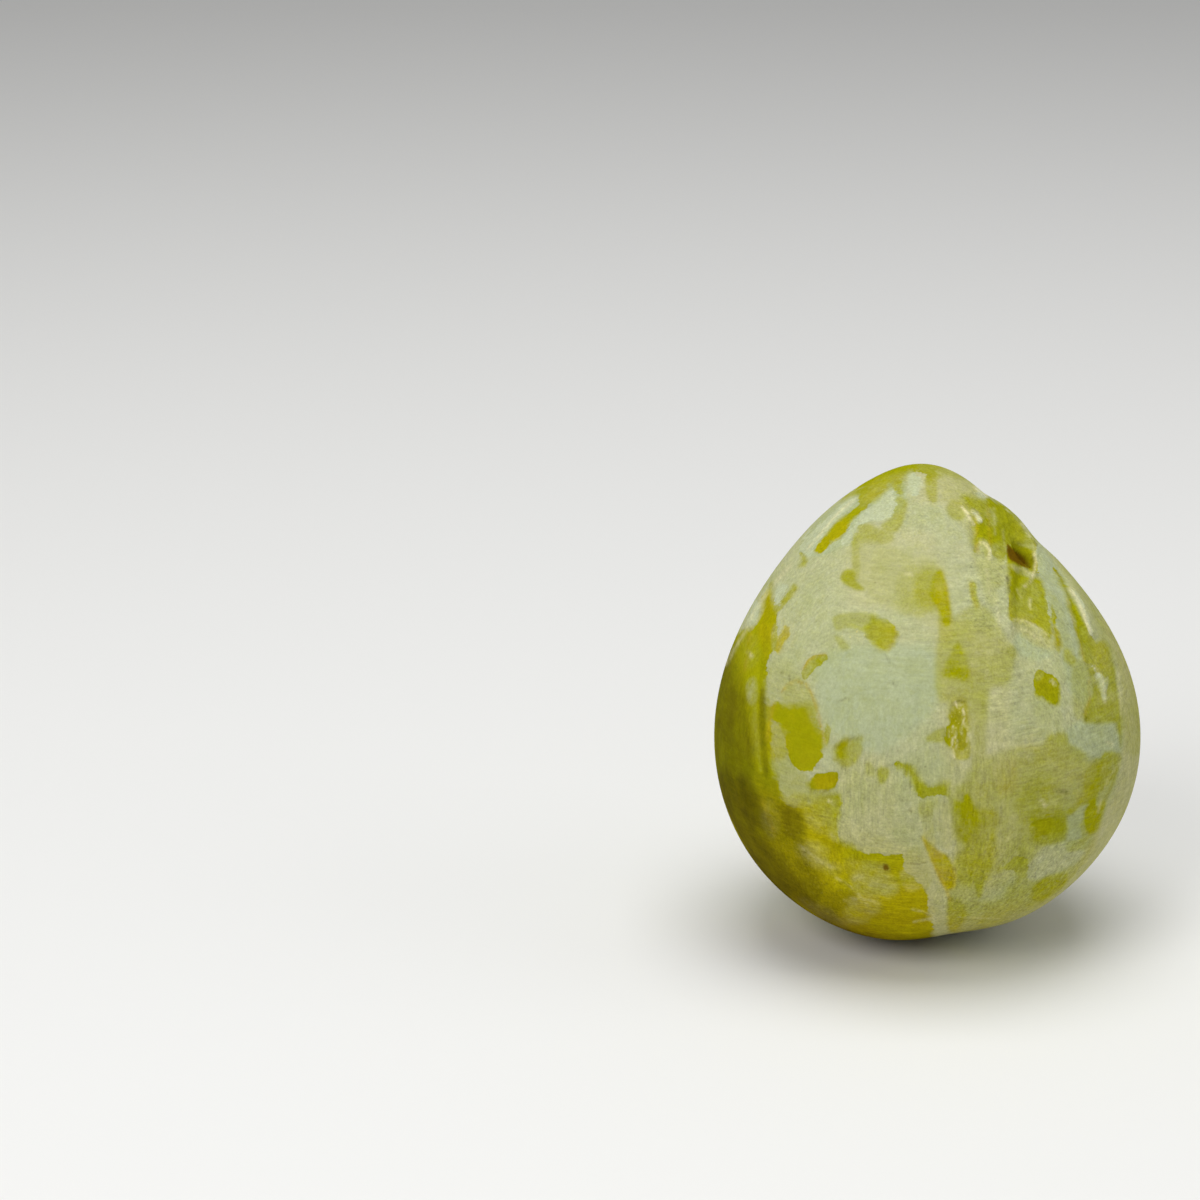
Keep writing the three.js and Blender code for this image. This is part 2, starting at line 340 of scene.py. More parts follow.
# Thin or half rubbed: how much bloom is left from 0 to 1, how soft the edge is in pixels, outline.
softMarks = {
    "middle": (0.8, 30, [(838, 770), (925, 770), (930, 860), (838, 845)]),
    "left middle": (0.72, 8, [(768, 666), (786, 660), (802, 676), (810, 690), (816, 710), (767, 708)]),
    "patch dome": (0.5, 5, [(783, 700), (786, 684), (796, 678), (806, 682), (812, 692), (817, 710),
        (800, 708)]),
    "bay": (0.62, 5, [(774, 766), (782, 757), (792, 760), (798, 771), (808, 774), (808, 790), (817, 795),
        (806, 801), (786, 801), (778, 786)]),
    "under the oval": (0.36, 5, [(808, 794), (824, 791), (840, 793), (840, 806), (828, 808), (812, 803)]),
    "crown haze": (0.66, 5, [(940, 464), (962, 472), (978, 486), (976, 500), (962, 500), (948, 500),
        (941, 498)]),
    "crown rim": (0.42, 4, [(936, 460), (964, 470), (974, 480), (962, 479), (940, 472)]),
    "crown side": (0.32, 4, [(926, 476), (937, 476), (937, 500), (931, 502), (926, 494)]),
    "below crown": (0.34, 5, [(895, 498), (907, 500), (906, 514), (898, 531), (886, 533), (881, 525),
        (891, 517)]),
    "lobe haze": (0.42, 5, [(948, 502), (961, 499), (967, 515), (957, 521), (948, 514)]),
    "upper haze": (0.4, 5, [(853, 530), (866, 523), (878, 528), (892, 533), (892, 542), (876, 547),
        (862, 545), (855, 549)]),
    "upper field": (0.74, 10, [(853, 545), (890, 545), (905, 556), (938, 562), (938, 600), (910, 612),
        (880, 604), (864, 590), (856, 575)]),
    "upper edge": (0.46, 3, [(852, 533), (858, 533), (860, 576), (853, 574)]),
    "right bloom": (0.84, 12, [(1010, 632), (1040, 640), (1036, 668), (1060, 712), (1060, 735),
        (1010, 735), (1000, 700)]),
    "strip": (0.72, 6, [(1046, 592), (1058, 596), (1070, 640), (1078, 665), (1066, 660), (1056, 625)]),
    "tick": (0.12, 4, [(840, 578), (843, 571), (850, 569), (856, 573), (856, 580), (863, 587), (864, 590),
        (856, 590), (848, 586), (843, 583)]),
    "golden smear": (0.54, 14, [(900, 572), (934, 564), (940, 588), (946, 612), (908, 614), (896, 598)]),
    "golden tail": (0.42, 6, [(938, 612), (952, 612), (956, 640), (942, 642)]),
    "patch trail": (0.45, 4, [(834, 616), (860, 612), (874, 616), (870, 632), (850, 628), (836, 630)]),
    "patch foot": (0.55, 4, [(834, 636), (842, 638), (850, 648), (842, 650)]),
    "middle haze": (0.48, 8, [(938, 640), (960, 612), (985, 606), (1008, 640), (1014, 660), (1008, 684),
        (992, 688), (988, 705), (984, 765), (972, 765), (970, 705), (938, 700)]),
    "middle left": (0.44, 5, [(992, 655), (1010, 650), (1008, 680), (994, 684)]),
    "olive cloud": (0.12, 7, [(943, 676), (946, 662), (952, 652), (958, 642), (965, 653), (969, 666),
        (968, 678), (955, 682)]),
    "olive foot": (0.5, 5, [(940, 680), (962, 680), (962, 692), (946, 696), (938, 690)]),
    "rubbed streak": (0.26, 3.5, [(969, 583), (976, 583), (977, 595), (980, 604), (976, 609),
        (971, 598)]),
    "rubbed dot": (0.34, 5, [(1007, 649), (1012, 645), (1017, 652), (1014, 659), (1009, 657)]),
    "scuff smear": (0.4, 4, [(926, 738), (936, 730), (946, 728), (946, 741), (932, 742)]),
    "brow haze": (0.28, 5, [(845, 748), (858, 741), (863, 750), (852, 766), (840, 765)]),
    "low streak": (0.48, 4, [(866, 762), (874, 766), (874, 776), (866, 774)]),
    "low streak 2": (0.25, 4, [(877, 769), (888, 768), (888, 778), (880, 784)]),
    "low khaki": (0.44, 12, [(975, 765), (1000, 752), (1060, 742), (1076, 752), (1104, 760), (1124, 762),
        (1112, 830), (1084, 872), (1040, 908), (1000, 926), (948, 936), (944, 880), (955, 850),
        (952, 795), (966, 780)]),
    "beside zigzag": (0.62, 5, [(920, 800), (938, 798), (936, 846), (924, 836)]),
    "beside oblong": (0.42, 5, [(919, 803), (933, 803), (932, 815), (920, 815)]),
    "oblong": (0.76, 4, [(937, 804), (948, 802), (958, 804), (962, 812), (959, 826), (957, 841),
        (951, 849), (943, 848), (936, 840), (933, 825), (934, 812)]),
    "under zigzag": (0.6, 4, [(950, 798), (962, 798), (960, 806), (950, 804)]),
    "low smudge": (0.38, 6, [(990, 766), (1014, 762), (1018, 786), (1000, 794), (990, 784)]),
    "pale square": (0.52, 5, [(998, 802), (1018, 797), (1020, 818), (1002, 820)]),
    "right of square": (0.34, 10, [(1020, 784), (1060, 780), (1064, 812), (1040, 812), (1020, 825)]),
    "right smudge": (0.36, 6, [(1046, 738), (1064, 732), (1072, 744), (1086, 754), (1084, 770),
        (1060, 768), (1048, 756)]),
    "pale bit": (0.42, 5, [(1062, 780), (1078, 778), (1078, 798), (1064, 798)]),
    "right dark": (0.22, 6, [(1104, 752), (1124, 756), (1116, 776), (1104, 800), (1090, 815), (1066, 812),
        (1082, 796), (1084, 772)]),
    "low dark": (0.14, 9, [(954, 800), (976, 808), (996, 812), (1000, 840), (986, 878), (960, 884),
        (956, 860), (966, 846), (954, 836)]),
    "low middle": (0.42, 8, [(1000, 822), (1030, 826), (1034, 850), (1010, 858), (998, 846)]),
    "low haze": (0.66, 6, [(984, 886), (992, 878), (1004, 871), (1015, 870), (1014, 882), (1006, 890),
        (1002, 906), (985, 912), (978, 905)]),
    "low haze 2": (0.38, 7, [(962, 905), (1000, 900), (1020, 885), (1028, 890), (1005, 920), (968, 926)]),
    "low right": (0.8, 4, [(1026, 868), (1034, 858), (1042, 848), (1056, 840), (1064, 830), (1062, 820),
        (1072, 814), (1082, 806), (1094, 805), (1088, 814), (1080, 824), (1081, 838), (1066, 842),
        (1068, 852), (1084, 850), (1078, 862), (1064, 870), (1046, 876), (1030, 881)]),
    "low right dark": (0.16, 5, [(1036, 884), (1050, 876), (1066, 873), (1066, 883), (1054, 893),
        (1040, 901), (1030, 897)]),
    "rim dark": (0.08, 4, [(1084, 812), (1096, 800), (1106, 804), (1100, 828), (1088, 834)]),
    "side haze": (0.58, 5, [(1072, 664), (1088, 664), (1092, 680), (1090, 700), (1084, 716),
        (1074, 716)]),
    "right rim": (0.58, 11, [(1050, 552), (1082, 562), (1108, 588), (1138, 606), (1142, 640), (1174, 668),
        (1162, 700), (1190, 738), (1170, 768), (1148, 765), (1121, 765), (1123, 740), (1119, 722),
        (1120, 690), (1114, 662), (1100, 642), (1092, 618), (1082, 600), (1068, 580)]),
    "low rim": (0.78, 6, [(1124, 756), (1150, 760), (1178, 790), (1150, 820), (1142, 862), (1104, 884),
        (1085, 925), (1050, 915), (1048, 908), (1074, 876), (1094, 846), (1100, 828), (1108, 800),
        (1118, 776)]),
    "run": (0.78, 4, [(918, 838), (922, 836), (928, 852), (933, 868), (938, 880), (944, 890), (948, 905),
        (950, 920), (953, 940), (932, 942), (930, 920), (927, 905), (926, 890), (918, 876)]),
    "strip foot": (0.36, 4, [(1064, 648), (1070, 650), (1076, 660), (1072, 666), (1064, 660)]),
    "patch inside": (0.34, 8, [(771, 724), (781, 724), (790, 740), (792, 752), (784, 758), (776, 760),
        (772, 750)]),
    "valley foot": (0.2, 6, [(1084, 652), (1096, 642), (1106, 642), (1114, 662), (1118, 690), (1122, 712),
        (1121, 748), (1115, 724), (1100, 724), (1084, 722), (1085, 708), (1092, 694), (1090, 676)]),
    "scuff foot": (0.25, 4, [(953, 742), (969, 738), (970, 757), (960, 760), (954, 756)]),
    "low patch": (0.06, 5, [(964, 795), (970, 796), (973, 802), (975, 811), (980, 824), (978, 838),
        (968, 842), (960, 838), (956, 828), (960, 816), (963, 806)]),
    "beside the run": (0.08, 5, [(922, 836), (929, 842), (938, 850), (948, 856), (954, 870), (956, 884),
        (948, 890), (940, 882), (934, 868), (928, 854)]),
    "drip": (0.12, 4, [(975, 880), (982, 876), (984, 886), (981, 897), (977, 896)]),
    "low corner": (0.14, 6, [(948, 900), (960, 900), (966, 915), (958, 930), (948, 930)]),
    "lobe fold": (0.42, 5, [(978, 540), (986, 543), (990, 551), (989, 566), (982, 568), (976, 552)]),
    "golden middle": (0.26, 9, [(916, 576), (934, 570), (938, 604), (926, 610), (914, 600)]),
    "island": (0.86, 3, [(1069, 742), (1073, 735), (1079, 730), (1087, 727), (1094, 726), (1101, 730),
        (1103, 738), (1105, 746), (1101, 758), (1092, 754), (1080, 747)]),
    "small island": (0.97, 3, [(1104, 736), (1107, 730), (1112, 728), (1116, 733), (1117, 742),
        (1113, 748), (1105, 750)]),
    "groove side": (0.7, 7, [(966, 518), (976, 532), (984, 552), (992, 574), (998, 602), (988, 604),
        (978, 575), (970, 548)]),
    "below the arcs": (0.66, 5, [(1012, 621), (1030, 624), (1050, 638), (1056, 650), (1040, 648),
        (1020, 634)]),
    "low bloom edge": (0.7, 10, [(838, 822), (860, 826), (885, 840), (902, 855), (860, 852), (842, 840)]),
    "top of the run": (0.62, 6, [(903, 856), (918, 846), (926, 862), (932, 884), (924, 890), (912, 882),
        (906, 872)]),
    "low square": (0.22, 6, [(1032, 810), (1062, 808), (1066, 840), (1034, 842)]),
    "shoulder foot": (0.62, 6, [(979, 560), (992, 558), (1004, 566), (1004, 585), (990, 588),
        (982, 575)]),
    "pale dash": (0.62, 5, [(1018, 748), (1030, 750), (1036, 758), (1030, 762), (1018, 758)]),
    "right hook side": (0.6, 4, [(1104, 782), (1112, 780), (1106, 796), (1098, 806), (1096, 800)]),
    "golden edge": (0.05, 5, [(934, 574), (941, 570), (946, 580), (949, 594), (951, 612), (950, 624),
        (944, 626), (939, 612), (933, 602), (930, 588)]),
    "bay foot": (0.35, 4, [(788, 796), (806, 794), (806, 806), (790, 806)]),
}
# Haze over bare skin: how much, how soft in pixels, outline.
hazeMarks = {
    "left rim": (0.42, 4, [(799, 549), (802, 562), (788, 572), (774, 586), (763, 602), (756, 616),
        (748, 628), (738, 634), (726, 644), (716, 654), (718, 640), (734, 622), (745, 604), (760, 582),
        (778, 562)]),
    "left rim end": (0.38, 5, [(784, 560), (800, 560), (800, 572), (784, 574)]),
    "left island": (0.24, 4, [(748, 680), (754, 677), (757, 685), (757, 698), (752, 705), (747, 698),
        (746, 688)]),
    "low haze 1": (0.26, 10, [(852, 876), (866, 870), (884, 872), (896, 882), (896, 892), (884, 898),
        (868, 897), (856, 890)]),
    "low haze 2": (0.18, 9, [(850, 898), (866, 900), (880, 903), (878, 912), (862, 917), (850, 912)]),
    "low haze 3": (0.14, 10, [(796, 846), (812, 842), (826, 848), (828, 858), (840, 868), (834, 874),
        (820, 868), (806, 862)]),
    "low haze 4": (0.09, 8, [(848, 858), (862, 862), (868, 870), (856, 874), (846, 868)]),
    "low haze 5": (0.24, 6, [(826, 832), (838, 824), (846, 838), (838, 842)]),
    "low haze 6": (0.05, 8, [(800, 898), (820, 904), (838, 914), (850, 926), (836, 928), (812, 912)]),
    "far haze": (0.28, 5, [(1016, 528), (1026, 532), (1034, 544), (1035, 554), (1022, 551), (1014, 540)]),
    "pit lip": (0.3, 3, [(1013, 562), (1022, 567), (1032, 572), (1030, 578), (1020, 574), (1014, 570)]),
    "below the pit": (0.12, 5, [(1022, 580), (1034, 582), (1042, 590), (1044, 615), (1028, 622),
        (1014, 616), (1016, 604)]),
    "shoulder spot": (0.26, 5, [(985, 508), (996, 512), (998, 524), (986, 524)]),
    "freckle": (0.25, 3, [(774, 624), (794, 622), (794, 645), (778, 656), (772, 648)]),
    "squarish patch": (0.1, 10, [(862, 618), (876, 610), (896, 622), (894, 645), (880, 655), (866, 640)]),
    "pit side": (0.24, 4, [(1045, 595), (1052, 598), (1055, 614), (1050, 622), (1046, 610)]),
    "scuff": (0.04, 4, [(955, 700), (966, 702), (970, 758), (956, 760)]),
    "crown": (0.12, 7, [(852, 502), (866, 488), (884, 478), (906, 472), (906, 484), (898, 494),
        (884, 500), (866, 508)]),
    "crest side": (0.2, 4, [(896, 486), (906, 486), (906, 500), (898, 500)]),
    "right patch": (0.12, 3, [(1033, 670), (1044, 671), (1042, 677), (1036, 680)]),
    "small arc": (0.3, 3, [(828, 650), (815, 650), (802, 660), (798, 678), (806, 682), (830, 662)]),
    "small streak": (0.28, 4, [(772, 582), (800, 582), (800, 600), (776, 614)]),
    "shoulder top": (0.12, 6, [(962, 496), (985, 496), (985, 514), (972, 514)]),
    "low haze 7": (0.06, 10, [(768, 800), (776, 812), (778, 830), (770, 838), (762, 818)]),
    "crown top": (0.1, 6, [(918, 460), (944, 460), (944, 478), (924, 476)]),
    "patch corner": (0.12, 5, [(806, 702), (820, 704), (824, 730), (816, 732), (809, 716)]),
    "patch side": (0.25, 3, [(823, 720), (832, 720), (832, 748), (823, 748)]),
    "shoulder foot": (0.22, 7, [(976, 548), (990, 546), (1008, 542), (1010, 562), (990, 564)]),
    "shoulder middle": (0.03, 8, [(996, 514), (1012, 514), (1026, 534), (1020, 544), (1004, 540)]),
    "slot": (0, 3, [(1006, 543), (1037, 553), (1037, 573), (1020, 568), (1006, 564)]),
    "right dark": (0.2, 8, [(1092, 756), (1120, 756), (1112, 790), (1094, 804), (1090, 790)]),
    "valley": (0.14, 8, [(1080, 628), (1096, 640), (1096, 660), (1082, 660)]),
    "zigzag": (0.06, 5, [(896, 762), (914, 762), (924, 780), (952, 780), (952, 800), (914, 800),
        (904, 776)]),
    "under the oval": (0.14, 8, [(808, 796), (840, 798), (838, 826), (820, 832), (806, 820)]),
    "low olive": (0.14, 5, [(1003, 856), (1030, 856), (1028, 878), (1006, 872)]),
    "left gap": (0.05, 4, [(763, 680), (770, 690), (772, 715), (767, 722), (763, 705)]),
    "beyond the left": (0.22, 14, [(640, 748), (672, 738), (688, 752), (684, 782), (656, 786)]),
    "beyond the left 2": (0.22, 12, [(666, 840), (690, 832), (700, 856), (688, 884), (666, 876)]),
    "left band": (0.03, 6, [(750, 712), (757, 712), (760, 750), (753, 752)]),
    "left top": (0.04, 7, [(744, 640), (756, 636), (758, 660), (746, 668)]),
    "slot foot": (0.1, 4, [(1008, 596), (1016, 594), (1018, 616), (1010, 618)]),
    "slot foot 2": (0.08, 4, [(1036, 610), (1048, 612), (1050, 632), (1042, 630)]),
    "low haze 8": (0.18, 6, [(858, 862), (884, 864), (888, 872), (866, 874)]),
    "low haze 9": (0.22, 5, [(900, 872), (914, 872), (920, 888), (906, 890)]),
    "foot haze": (0.11, 7, [(846, 908), (868, 908), (868, 922), (846, 922)]),
}
# Riper and browner than the rest: how much, how soft in pixels, outline.
ripeMarks = {
    "freckle": (0.5, 3, [(782, 622), (794, 626), (792, 646), (776, 654)]),
    "golden edge": (0.12, 6, [(936, 566), (944, 566), (952, 600), (952, 640), (938, 640), (935, 610)]),
    "orange spot": (0.4, 3, [(1052, 630), (1060, 632), (1062, 648), (1056, 652)]),
    "scuff": (0.12, 5, [(950, 702), (968, 702), (970, 760), (950, 750)]),
    "low left": (0.22, 40, [(670, 790), (770, 792), (830, 810), (850, 850), (905, 858), (925, 885),
        (932, 930), (930, 980), (740, 980)]),
    "slanting streak": (0.15, 8, [(814, 556), (814, 542), (830, 522), (848, 520), (846, 534),
        (826, 554)]),
    "bottom left": (0.55, 50, [(700, 830), (760, 850), (800, 880), (850, 915), (900, 940), (880, 990),
        (740, 990)]),
    "foot of the bare side": (0.5, 12, [(856, 898), (900, 896), (928, 900), (928, 926), (880, 924),
        (856, 912)]),
    "beside the run": (0.15, 6, [(924, 840), (942, 846), (958, 870), (950, 892), (938, 886)]),
    "low smudge": (0.15, 8, [(992, 764), (1015, 760), (1018, 788), (1000, 794)]),
    "oval": (0.3, 8, [(814, 778), (834, 774), (836, 784), (820, 790)]),
    "squarish patch": (0.12, 10, [(866, 626), (896, 626), (896, 645), (882, 655), (870, 645)]),
    "golden foot": (0.12, 10, [(1088, 640), (1104, 638), (1112, 655), (1110, 672), (1098, 666)]),
    "by the run": (0.6, 5, [(931, 848), (941, 849), (943, 858), (934, 859)]),
    "by the run 2": (0.55, 6, [(936, 869), (954, 870), (954, 888), (942, 887)]),
    "foot spot": (0.4, 10, [(778, 874), (792, 872), (802, 886), (792, 896), (780, 888)]),
    "patch inside": (0.12, 8, [(766, 724), (782, 724), (792, 750), (780, 762), (768, 756)]),
    "crown": (0.1, 8, [(860, 496), (880, 476), (905, 474), (896, 490), (876, 500)]),
    "low blotch": (0.45, 9, [(900, 890), (922, 886), (926, 912), (906, 914)]),
    "low blotch 2": (0.55, 10, [(775, 868), (798, 872), (806, 894), (792, 900), (776, 886)]),
    "low patch": (0.05, 12, [(970, 815), (1000, 815), (998, 872), (970, 872)]),
    "left stripe": (0.12, 6, [(757, 600), (772, 590), (775, 640), (764, 660)]),
    "streak foot": (0.12, 4, [(1051, 626), (1060, 628), (1063, 650), (1056, 654)]),
}
# Warmer, towards beige, or cooler bloom, with a painted sheen along the right edge: how warm, how soft in
# pixels, outline.
warmMarks = {
    "cool middle": (0.1, 14, [(822, 655), (935, 648), (938, 700), (905, 735), (880, 752), (850, 744),
        (824, 715)]),
    "upper field": (0.72, 16, [(852, 535), (930, 535), (945, 600), (940, 640), (905, 612), (850, 600)]),
    "crown": (0.8, 12, [(920, 455), (965, 465), (985, 500), (980, 540), (960, 520), (940, 505),
        (915, 500)]),
    "middle": (0.8, 14, [(940, 625), (1005, 640), (1010, 690), (1000, 760), (945, 760), (940, 690)]),
    "strip": (0, 8, [(1037, 547), (1052, 560), (1070, 590), (1090, 640), (1090, 700), (1070, 690),
        (1060, 650), (1040, 660), (1015, 650), (1020, 630), (1050, 620), (1040, 580)]),
    "upper left streaks": (0, 6, [(800, 548), (838, 505), (900, 480), (900, 512), (860, 524), (845, 545),
        (815, 556)]),
    "low middle": (0.72, 14, [(838, 765), (890, 765), (890, 850), (845, 845)]),
    "low right": (0.85, 20, [(950, 750), (1060, 745), (1060, 800), (1040, 850), (990, 890), (950, 890)]),
    "islands": (0.05, 8, [(1066, 735), (1080, 722), (1118, 722), (1122, 750), (1095, 762), (1074, 752)]),
    "low islands": (0.15, 10, [(1060, 812), (1096, 804), (1088, 845), (1064, 845)]),
    # painted sheen: the beige band along the right edge
    "right rim": (1, 8, [(1100, 615), (1116, 655), (1122, 700), (1124, 760), (1106, 815), (1080, 862),
        (1040, 905), (1060, 930), (1160, 830), (1180, 700), (1130, 620)]),
    "run": (0.8, 8, [(922, 838), (936, 846), (958, 940), (928, 944)]),
    "bottom left": (1, 20, [(770, 830), (830, 830), (930, 860), (930, 940), (850, 940), (780, 890)]),
    "below the arcs": (0.6, 6, [(1012, 621), (1030, 624), (1050, 638), (1056, 650), (1040, 648),
        (1020, 634)]),
    "low patch": (1, 10, [(975, 812), (1000, 812), (1000, 880), (975, 880)]),
}
# Darker skin, partly the skin's own deeper olive and partly painted shade, most of all down the left side,
# along the foot and at the bottom: how deep, how soft in pixels, outline.
deepAndShadeMarks = {
    # painted shade: the left side, the low left, its foot, the bottom and the low edge
    "left side": (0.64, 30, [(690, 600), (733, 636), (742, 676), (750, 708), (757, 744), (757, 776),
        (762, 806), (766, 836), (790, 866), (812, 905), (780, 940), (640, 920), (640, 700)]),
    "low left": (0.52, 26, [(752, 786), (772, 794), (796, 806), (806, 826), (802, 846), (822, 872),
        (850, 905), (890, 930), (890, 990), (740, 990), (700, 880)]),
    "left foot": (0.8, 28, [(640, 776), (736, 772), (752, 784), (762, 808), (768, 834), (782, 862),
        (797, 892), (780, 926), (700, 930), (660, 870)]),
    "bottom": (0.18, 20, [(850, 900), (940, 905), (950, 990), (840, 990)]),
    "low edge": (0.55, 10, [(640, 800), (738, 840), (752, 866), (790, 904), (840, 928), (900, 938),
        (960, 934), (960, 990), (700, 990)]),
    "foot blotch": (0.5, 8, [(826, 894), (840, 890), (854, 896), (856, 904), (842, 908), (828, 902)]),
    "left band": (0.5, 5, [(760, 690), (765, 690), (767, 706), (766, 730), (769, 760), (771, 786),
        (765, 786), (760, 750), (759, 715)]),
    "olive cloud": (0.3, 8, [(943, 672), (952, 652), (966, 652), (969, 676), (958, 684)]),
    "oval": (0.15, 6, [(808, 776), (838, 773), (836, 790), (812, 791)]),
    "low square": (0.18, 8, [(1032, 814), (1064, 814), (1062, 840), (1034, 840)]),
    "scuff": (0.25, 5, [(944, 725), (952, 702), (967, 702), (970, 740), (958, 750), (944, 742)]),
    "low patch": (0.12, 8, [(958, 800), (984, 815), (985, 840), (958, 840)]),
    "crown": (0.1, 8, [(880, 484), (896, 472), (925, 462), (936, 474), (912, 478), (896, 490)]),
    "low blotch": (0.28, 8, [(812, 862), (822, 858), (828, 866), (820, 872)]),
    "low blotch 2": (0.45, 8, [(836, 890), (852, 892), (856, 900), (842, 904)]),
    "right patch": (0.22, 6, [(1036, 678), (1058, 684), (1058, 706), (1038, 700)]),
    "small streak": (0.1, 4, [(776, 600), (794, 584), (798, 590), (780, 610)]),
    "tip": (0.12, 8, [(925, 460), (945, 460), (945, 474), (928, 474)]),
    "middle": (0.12, 20, [(950, 610), (1008, 610), (1010, 690), (950, 700)]),
    "low khaki": (0.1, 20, [(975, 770), (1060, 750), (1070, 800), (980, 820)]),
    "left shade": (0.58, 12, [(734, 726), (744, 726), (752, 752), (752, 768), (742, 774), (734, 770)]),
    "low smudge": (0.2, 8, [(992, 764), (1015, 760), (1018, 788), (1000, 794)]),
    "mid haze": (0.14, 16, [(966, 700), (990, 690), (990, 765), (970, 765)]),
    "brown side": (0.62, 16, [(796, 832), (808, 842), (812, 862), (822, 890), (812, 902), (800, 872)]),
    "foot light": (0.66, 10, [(755, 794), (766, 792), (770, 814), (760, 820)]),
    "foot spot": (0.68, 10, [(796, 880), (812, 882), (818, 898), (802, 900)]),
    "foot light 2": (0.42, 8, [(757, 776), (773, 778), (780, 812), (768, 816), (760, 800)]),
    "left shade foot": (0.4, 8, [(762, 776), (774, 778), (778, 796), (768, 800)]),
    "low patch shade": (0.2, 10, [(822, 842), (840, 842), (842, 856), (824, 856)]),
    "valley top": (0.14, 6, [(1046, 562), (1056, 562), (1068, 588), (1066, 600), (1054, 588)]),
    "streak foot": (0.12, 4, [(1051, 626), (1060, 628), (1063, 650), (1056, 654)]),
    "foot side": (0.6, 10, [(782, 808), (800, 812), (804, 832), (788, 836)]),
}
# Scratched by something rough, with pale grains and painted glints: how much, how soft in pixels, outline.
scuffAndGlintMarks = {
    "scuff": (0.35, 3, [(952, 698), (964, 698), (972, 716), (972, 758), (962, 764), (951, 752),
        (950, 720)]),
    "glintGrains": (0.6, 4, [(842, 628), (862, 627), (868, 634), (860, 640), (844, 640)]),
    "low grains": (0.6, 3, [(822, 799), (834, 798), (836, 806), (824, 807)]),
    "low left": (0.07, 20, [(780, 830), (840, 850), (900, 880), (880, 920), (820, 900)]),
}
# Brown and dry, and painted shadow in the slot of the pit: how much, above 1 darker still, how soft in
# pixels, outline.
scarAndPitShadowMarks = {
    # the slot and the slot dark: the scar with painted shadow inside the pit
    "slot": (0.9, 1.6, [(1007, 544), (1013, 549), (1021, 554), (1028, 560), (1031, 568), (1024, 567),
        (1014, 562), (1008, 557)]),
    "slot right": (0.12, 4, [(1025, 551), (1034, 556), (1034, 570), (1030, 566), (1025, 558)]),
    "slot dark": (1.05, 4, [(1008, 548), (1014, 551), (1021, 556), (1027, 563), (1024, 565), (1013, 560),
        (1009, 556)]),
    "dot": (0.95, 1.5, [(883, 866), (886, 864), (889, 867), (888, 870), (884, 870)]),
}
# Strong or weak mottling: how strong, how soft in pixels, outline.
roughMarks = {
    "cool middle": (0.52, 14, [(822, 655), (935, 648), (938, 700), (905, 735), (880, 752), (850, 744),
        (824, 715)]),
    "upper field": (0.62, 16, [(852, 545), (935, 545), (945, 600), (940, 640), (905, 612), (850, 600)]),
    "low middle": (1.05, 12, [(838, 765), (925, 770), (930, 860), (845, 845)]),
    "right": (1, 20, [(1000, 630), (1150, 600), (1150, 800), (1000, 760)]),
    "low right": (0.95, 20, [(950, 760), (1100, 760), (1080, 880), (990, 940), (925, 945), (925, 840),
        (950, 830)]),
    "far shoulder": (1.2, 6, [(960, 492), (985, 494), (1010, 505), (1040, 545), (1036, 562), (1008, 545),
        (995, 562), (974, 550)]),
    "below the pit": (1, 6, [(1008, 562), (1034, 570), (1050, 590), (1056, 640), (1040, 640),
        (1008, 622)]),
    "left of the pit": (1.2, 8, [(970, 560), (1006, 560), (1006, 630), (970, 625)]),
    "big patch": (0.45, 6, [(765, 704), (815, 704), (824, 750), (804, 770), (785, 740)]),
    "bottom left": (1.2, 20, [(770, 800), (840, 810), (900, 860), (928, 900), (928, 945), (850, 940),
        (780, 880)]),
    "low right foot": (1.35, 16, [(950, 850), (1090, 840), (1060, 890), (1000, 925), (950, 935)]),
}
